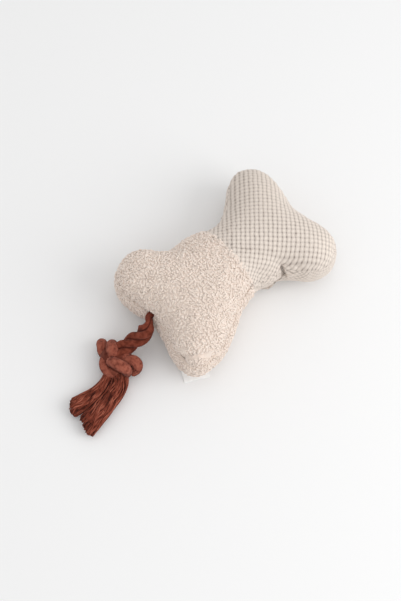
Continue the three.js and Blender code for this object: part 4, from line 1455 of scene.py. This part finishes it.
class DOGTOY_OT_stage(bpy.types.Operator):
    """Pale floor, soft studio light and the camera"""

    bl_idname = "dogtoy.stage"
    bl_label = "Stage"

    def execute(self, context):
        scene = context.scene
        scene.view_settings.view_transform = "Standard"
        self.floor()
        self.lights(scene)
        self.camera(scene)
        return {"FINISHED"}

    def floor(self):
        """A wide pale floor that takes the toy's shadow."""
        size = 4.0
        corners = np.array([[-size, -size, 0], [size, -size, 0], [size, size, 0], [-size, size, 0]])
        material = bpy.data.materials.new("matt_pale_board")
        material.use_nodes = True
        shader = material.node_tree.nodes["Principled BSDF"]
        shader.inputs["Base Color"].default_value = linear("F1F1F1")
        shader.inputs["Roughness"].default_value = 0.9
        shader.inputs["Specular IOR Level"].default_value = 0.1
        piece = new_piece("floor", corners, np.array([[0, 1, 2, 3]]), material, "", smooth=False)

    def lights(self, scene):
        """A large soft light to the right of the picture and an even fill from the room."""
        world = bpy.data.worlds.new("studio")
        world.use_nodes = True
        background = world.node_tree.nodes["Background"]
        background.inputs["Color"].default_value = (1, 1, 1, 1)
        background.inputs["Strength"].default_value = ROOM_LIGHT
        scene.world = world
        for name, place, size, power in LAMPS:
            lamp = bpy.data.lights.new(name, "AREA")
            lamp.size = size
            lamp.energy = power
            holder = bpy.data.objects.new(name, lamp)
            holder.location = place
            holder.rotation_mode = "QUATERNION"
            holder.rotation_quaternion = (Vector(place) - Vector((0, 0, 0.03))).to_track_quat("Z", "Y")
            scene.collection.objects.link(holder)

    def camera(self, scene):
        """A camera that looks down at 67 degrees, with the toy where the photograph has it."""
        azimuth, elevation = math.radians(-42.5), math.radians(67)
        distance, pixel = 850 * MM, 0.769 * MM
        width, height, sensor = 401, 601, 36.0
        target_x, target_y = 222.0, 268.0
        back = Vector((math.sin(azimuth) * math.cos(elevation), -math.cos(azimuth) * math.cos(elevation),
                       math.sin(elevation)))
        right = Vector((math.cos(azimuth), math.sin(azimuth), 0))
        up = back.cross(right)
        lens = bpy.data.cameras.new("camera")
        lens.sensor_width = sensor
        lens.lens = sensor * distance / (pixel * height)
        eye = bpy.data.objects.new("camera", lens)
        aim = Vector((-1.15 * MM, -0.35 * MM, 25 * MM))
        eye.location = (aim + back * distance - right * (target_x - width / 2) * pixel
                        - up * (height / 2 - target_y) * pixel)
        eye.rotation_mode = "QUATERNION"
        eye.rotation_quaternion = Matrix((right, up, back)).transposed().to_quaternion()
        lens.clip_start, lens.clip_end = 0.01, 20
        scene.collection.objects.link(eye)
        scene.camera = eye


class DOGTOY_PT_panel(bpy.types.Panel):
    """The steps that make the toy, in order"""

    bl_idname = "DOGTOY_PT_panel"
    bl_label = "Dog Toy"
    bl_space_type = "VIEW_3D"
    bl_region_type = "UI"
    bl_category = "Dog Toy"

    def draw(self, context):
        for step in STEPS:
            self.layout.operator(step.bl_idname)
        for group in (context.scene.toy_sizes, context.scene.rope_sizes, context.scene.toy_colours):
            for name in group.__annotations__:
                self.layout.prop(group, name)


STEPS = (DOGTOY_OT_stage, DOGTOY_OT_knot, DOGTOY_OT_tails, DOGTOY_OT_rope, DOGTOY_OT_stuffing,
         DOGTOY_OT_woven, DOGTOY_OT_fleece, DOGTOY_OT_trim, DOGTOY_OT_fill, DOGTOY_OT_squeaker)
GROUPS = {"toy_sizes": ToySizes, "rope_sizes": RopeSizes, "toy_colours": ToyColours}


def register():
    for group in GROUPS.values():
        bpy.utils.register_class(group)
    for name, group in GROUPS.items():
        setattr(bpy.types.Scene, name, bpy.props.PointerProperty(type=group))
    for step in STEPS:
        bpy.utils.register_class(step)
    bpy.utils.register_class(DOGTOY_PT_panel)


def unregister():
    bpy.utils.unregister_class(DOGTOY_PT_panel)
    for step in reversed(STEPS):
        bpy.utils.unregister_class(step)
    for name, group in GROUPS.items():
        delattr(bpy.types.Scene, name)
        bpy.utils.unregister_class(group)


def main():
    register()
    for step in STEPS:
        family, name = step.bl_idname.split(".")
        getattr(getattr(bpy.ops, family), name)()


if __name__ == "__main__":
    main()
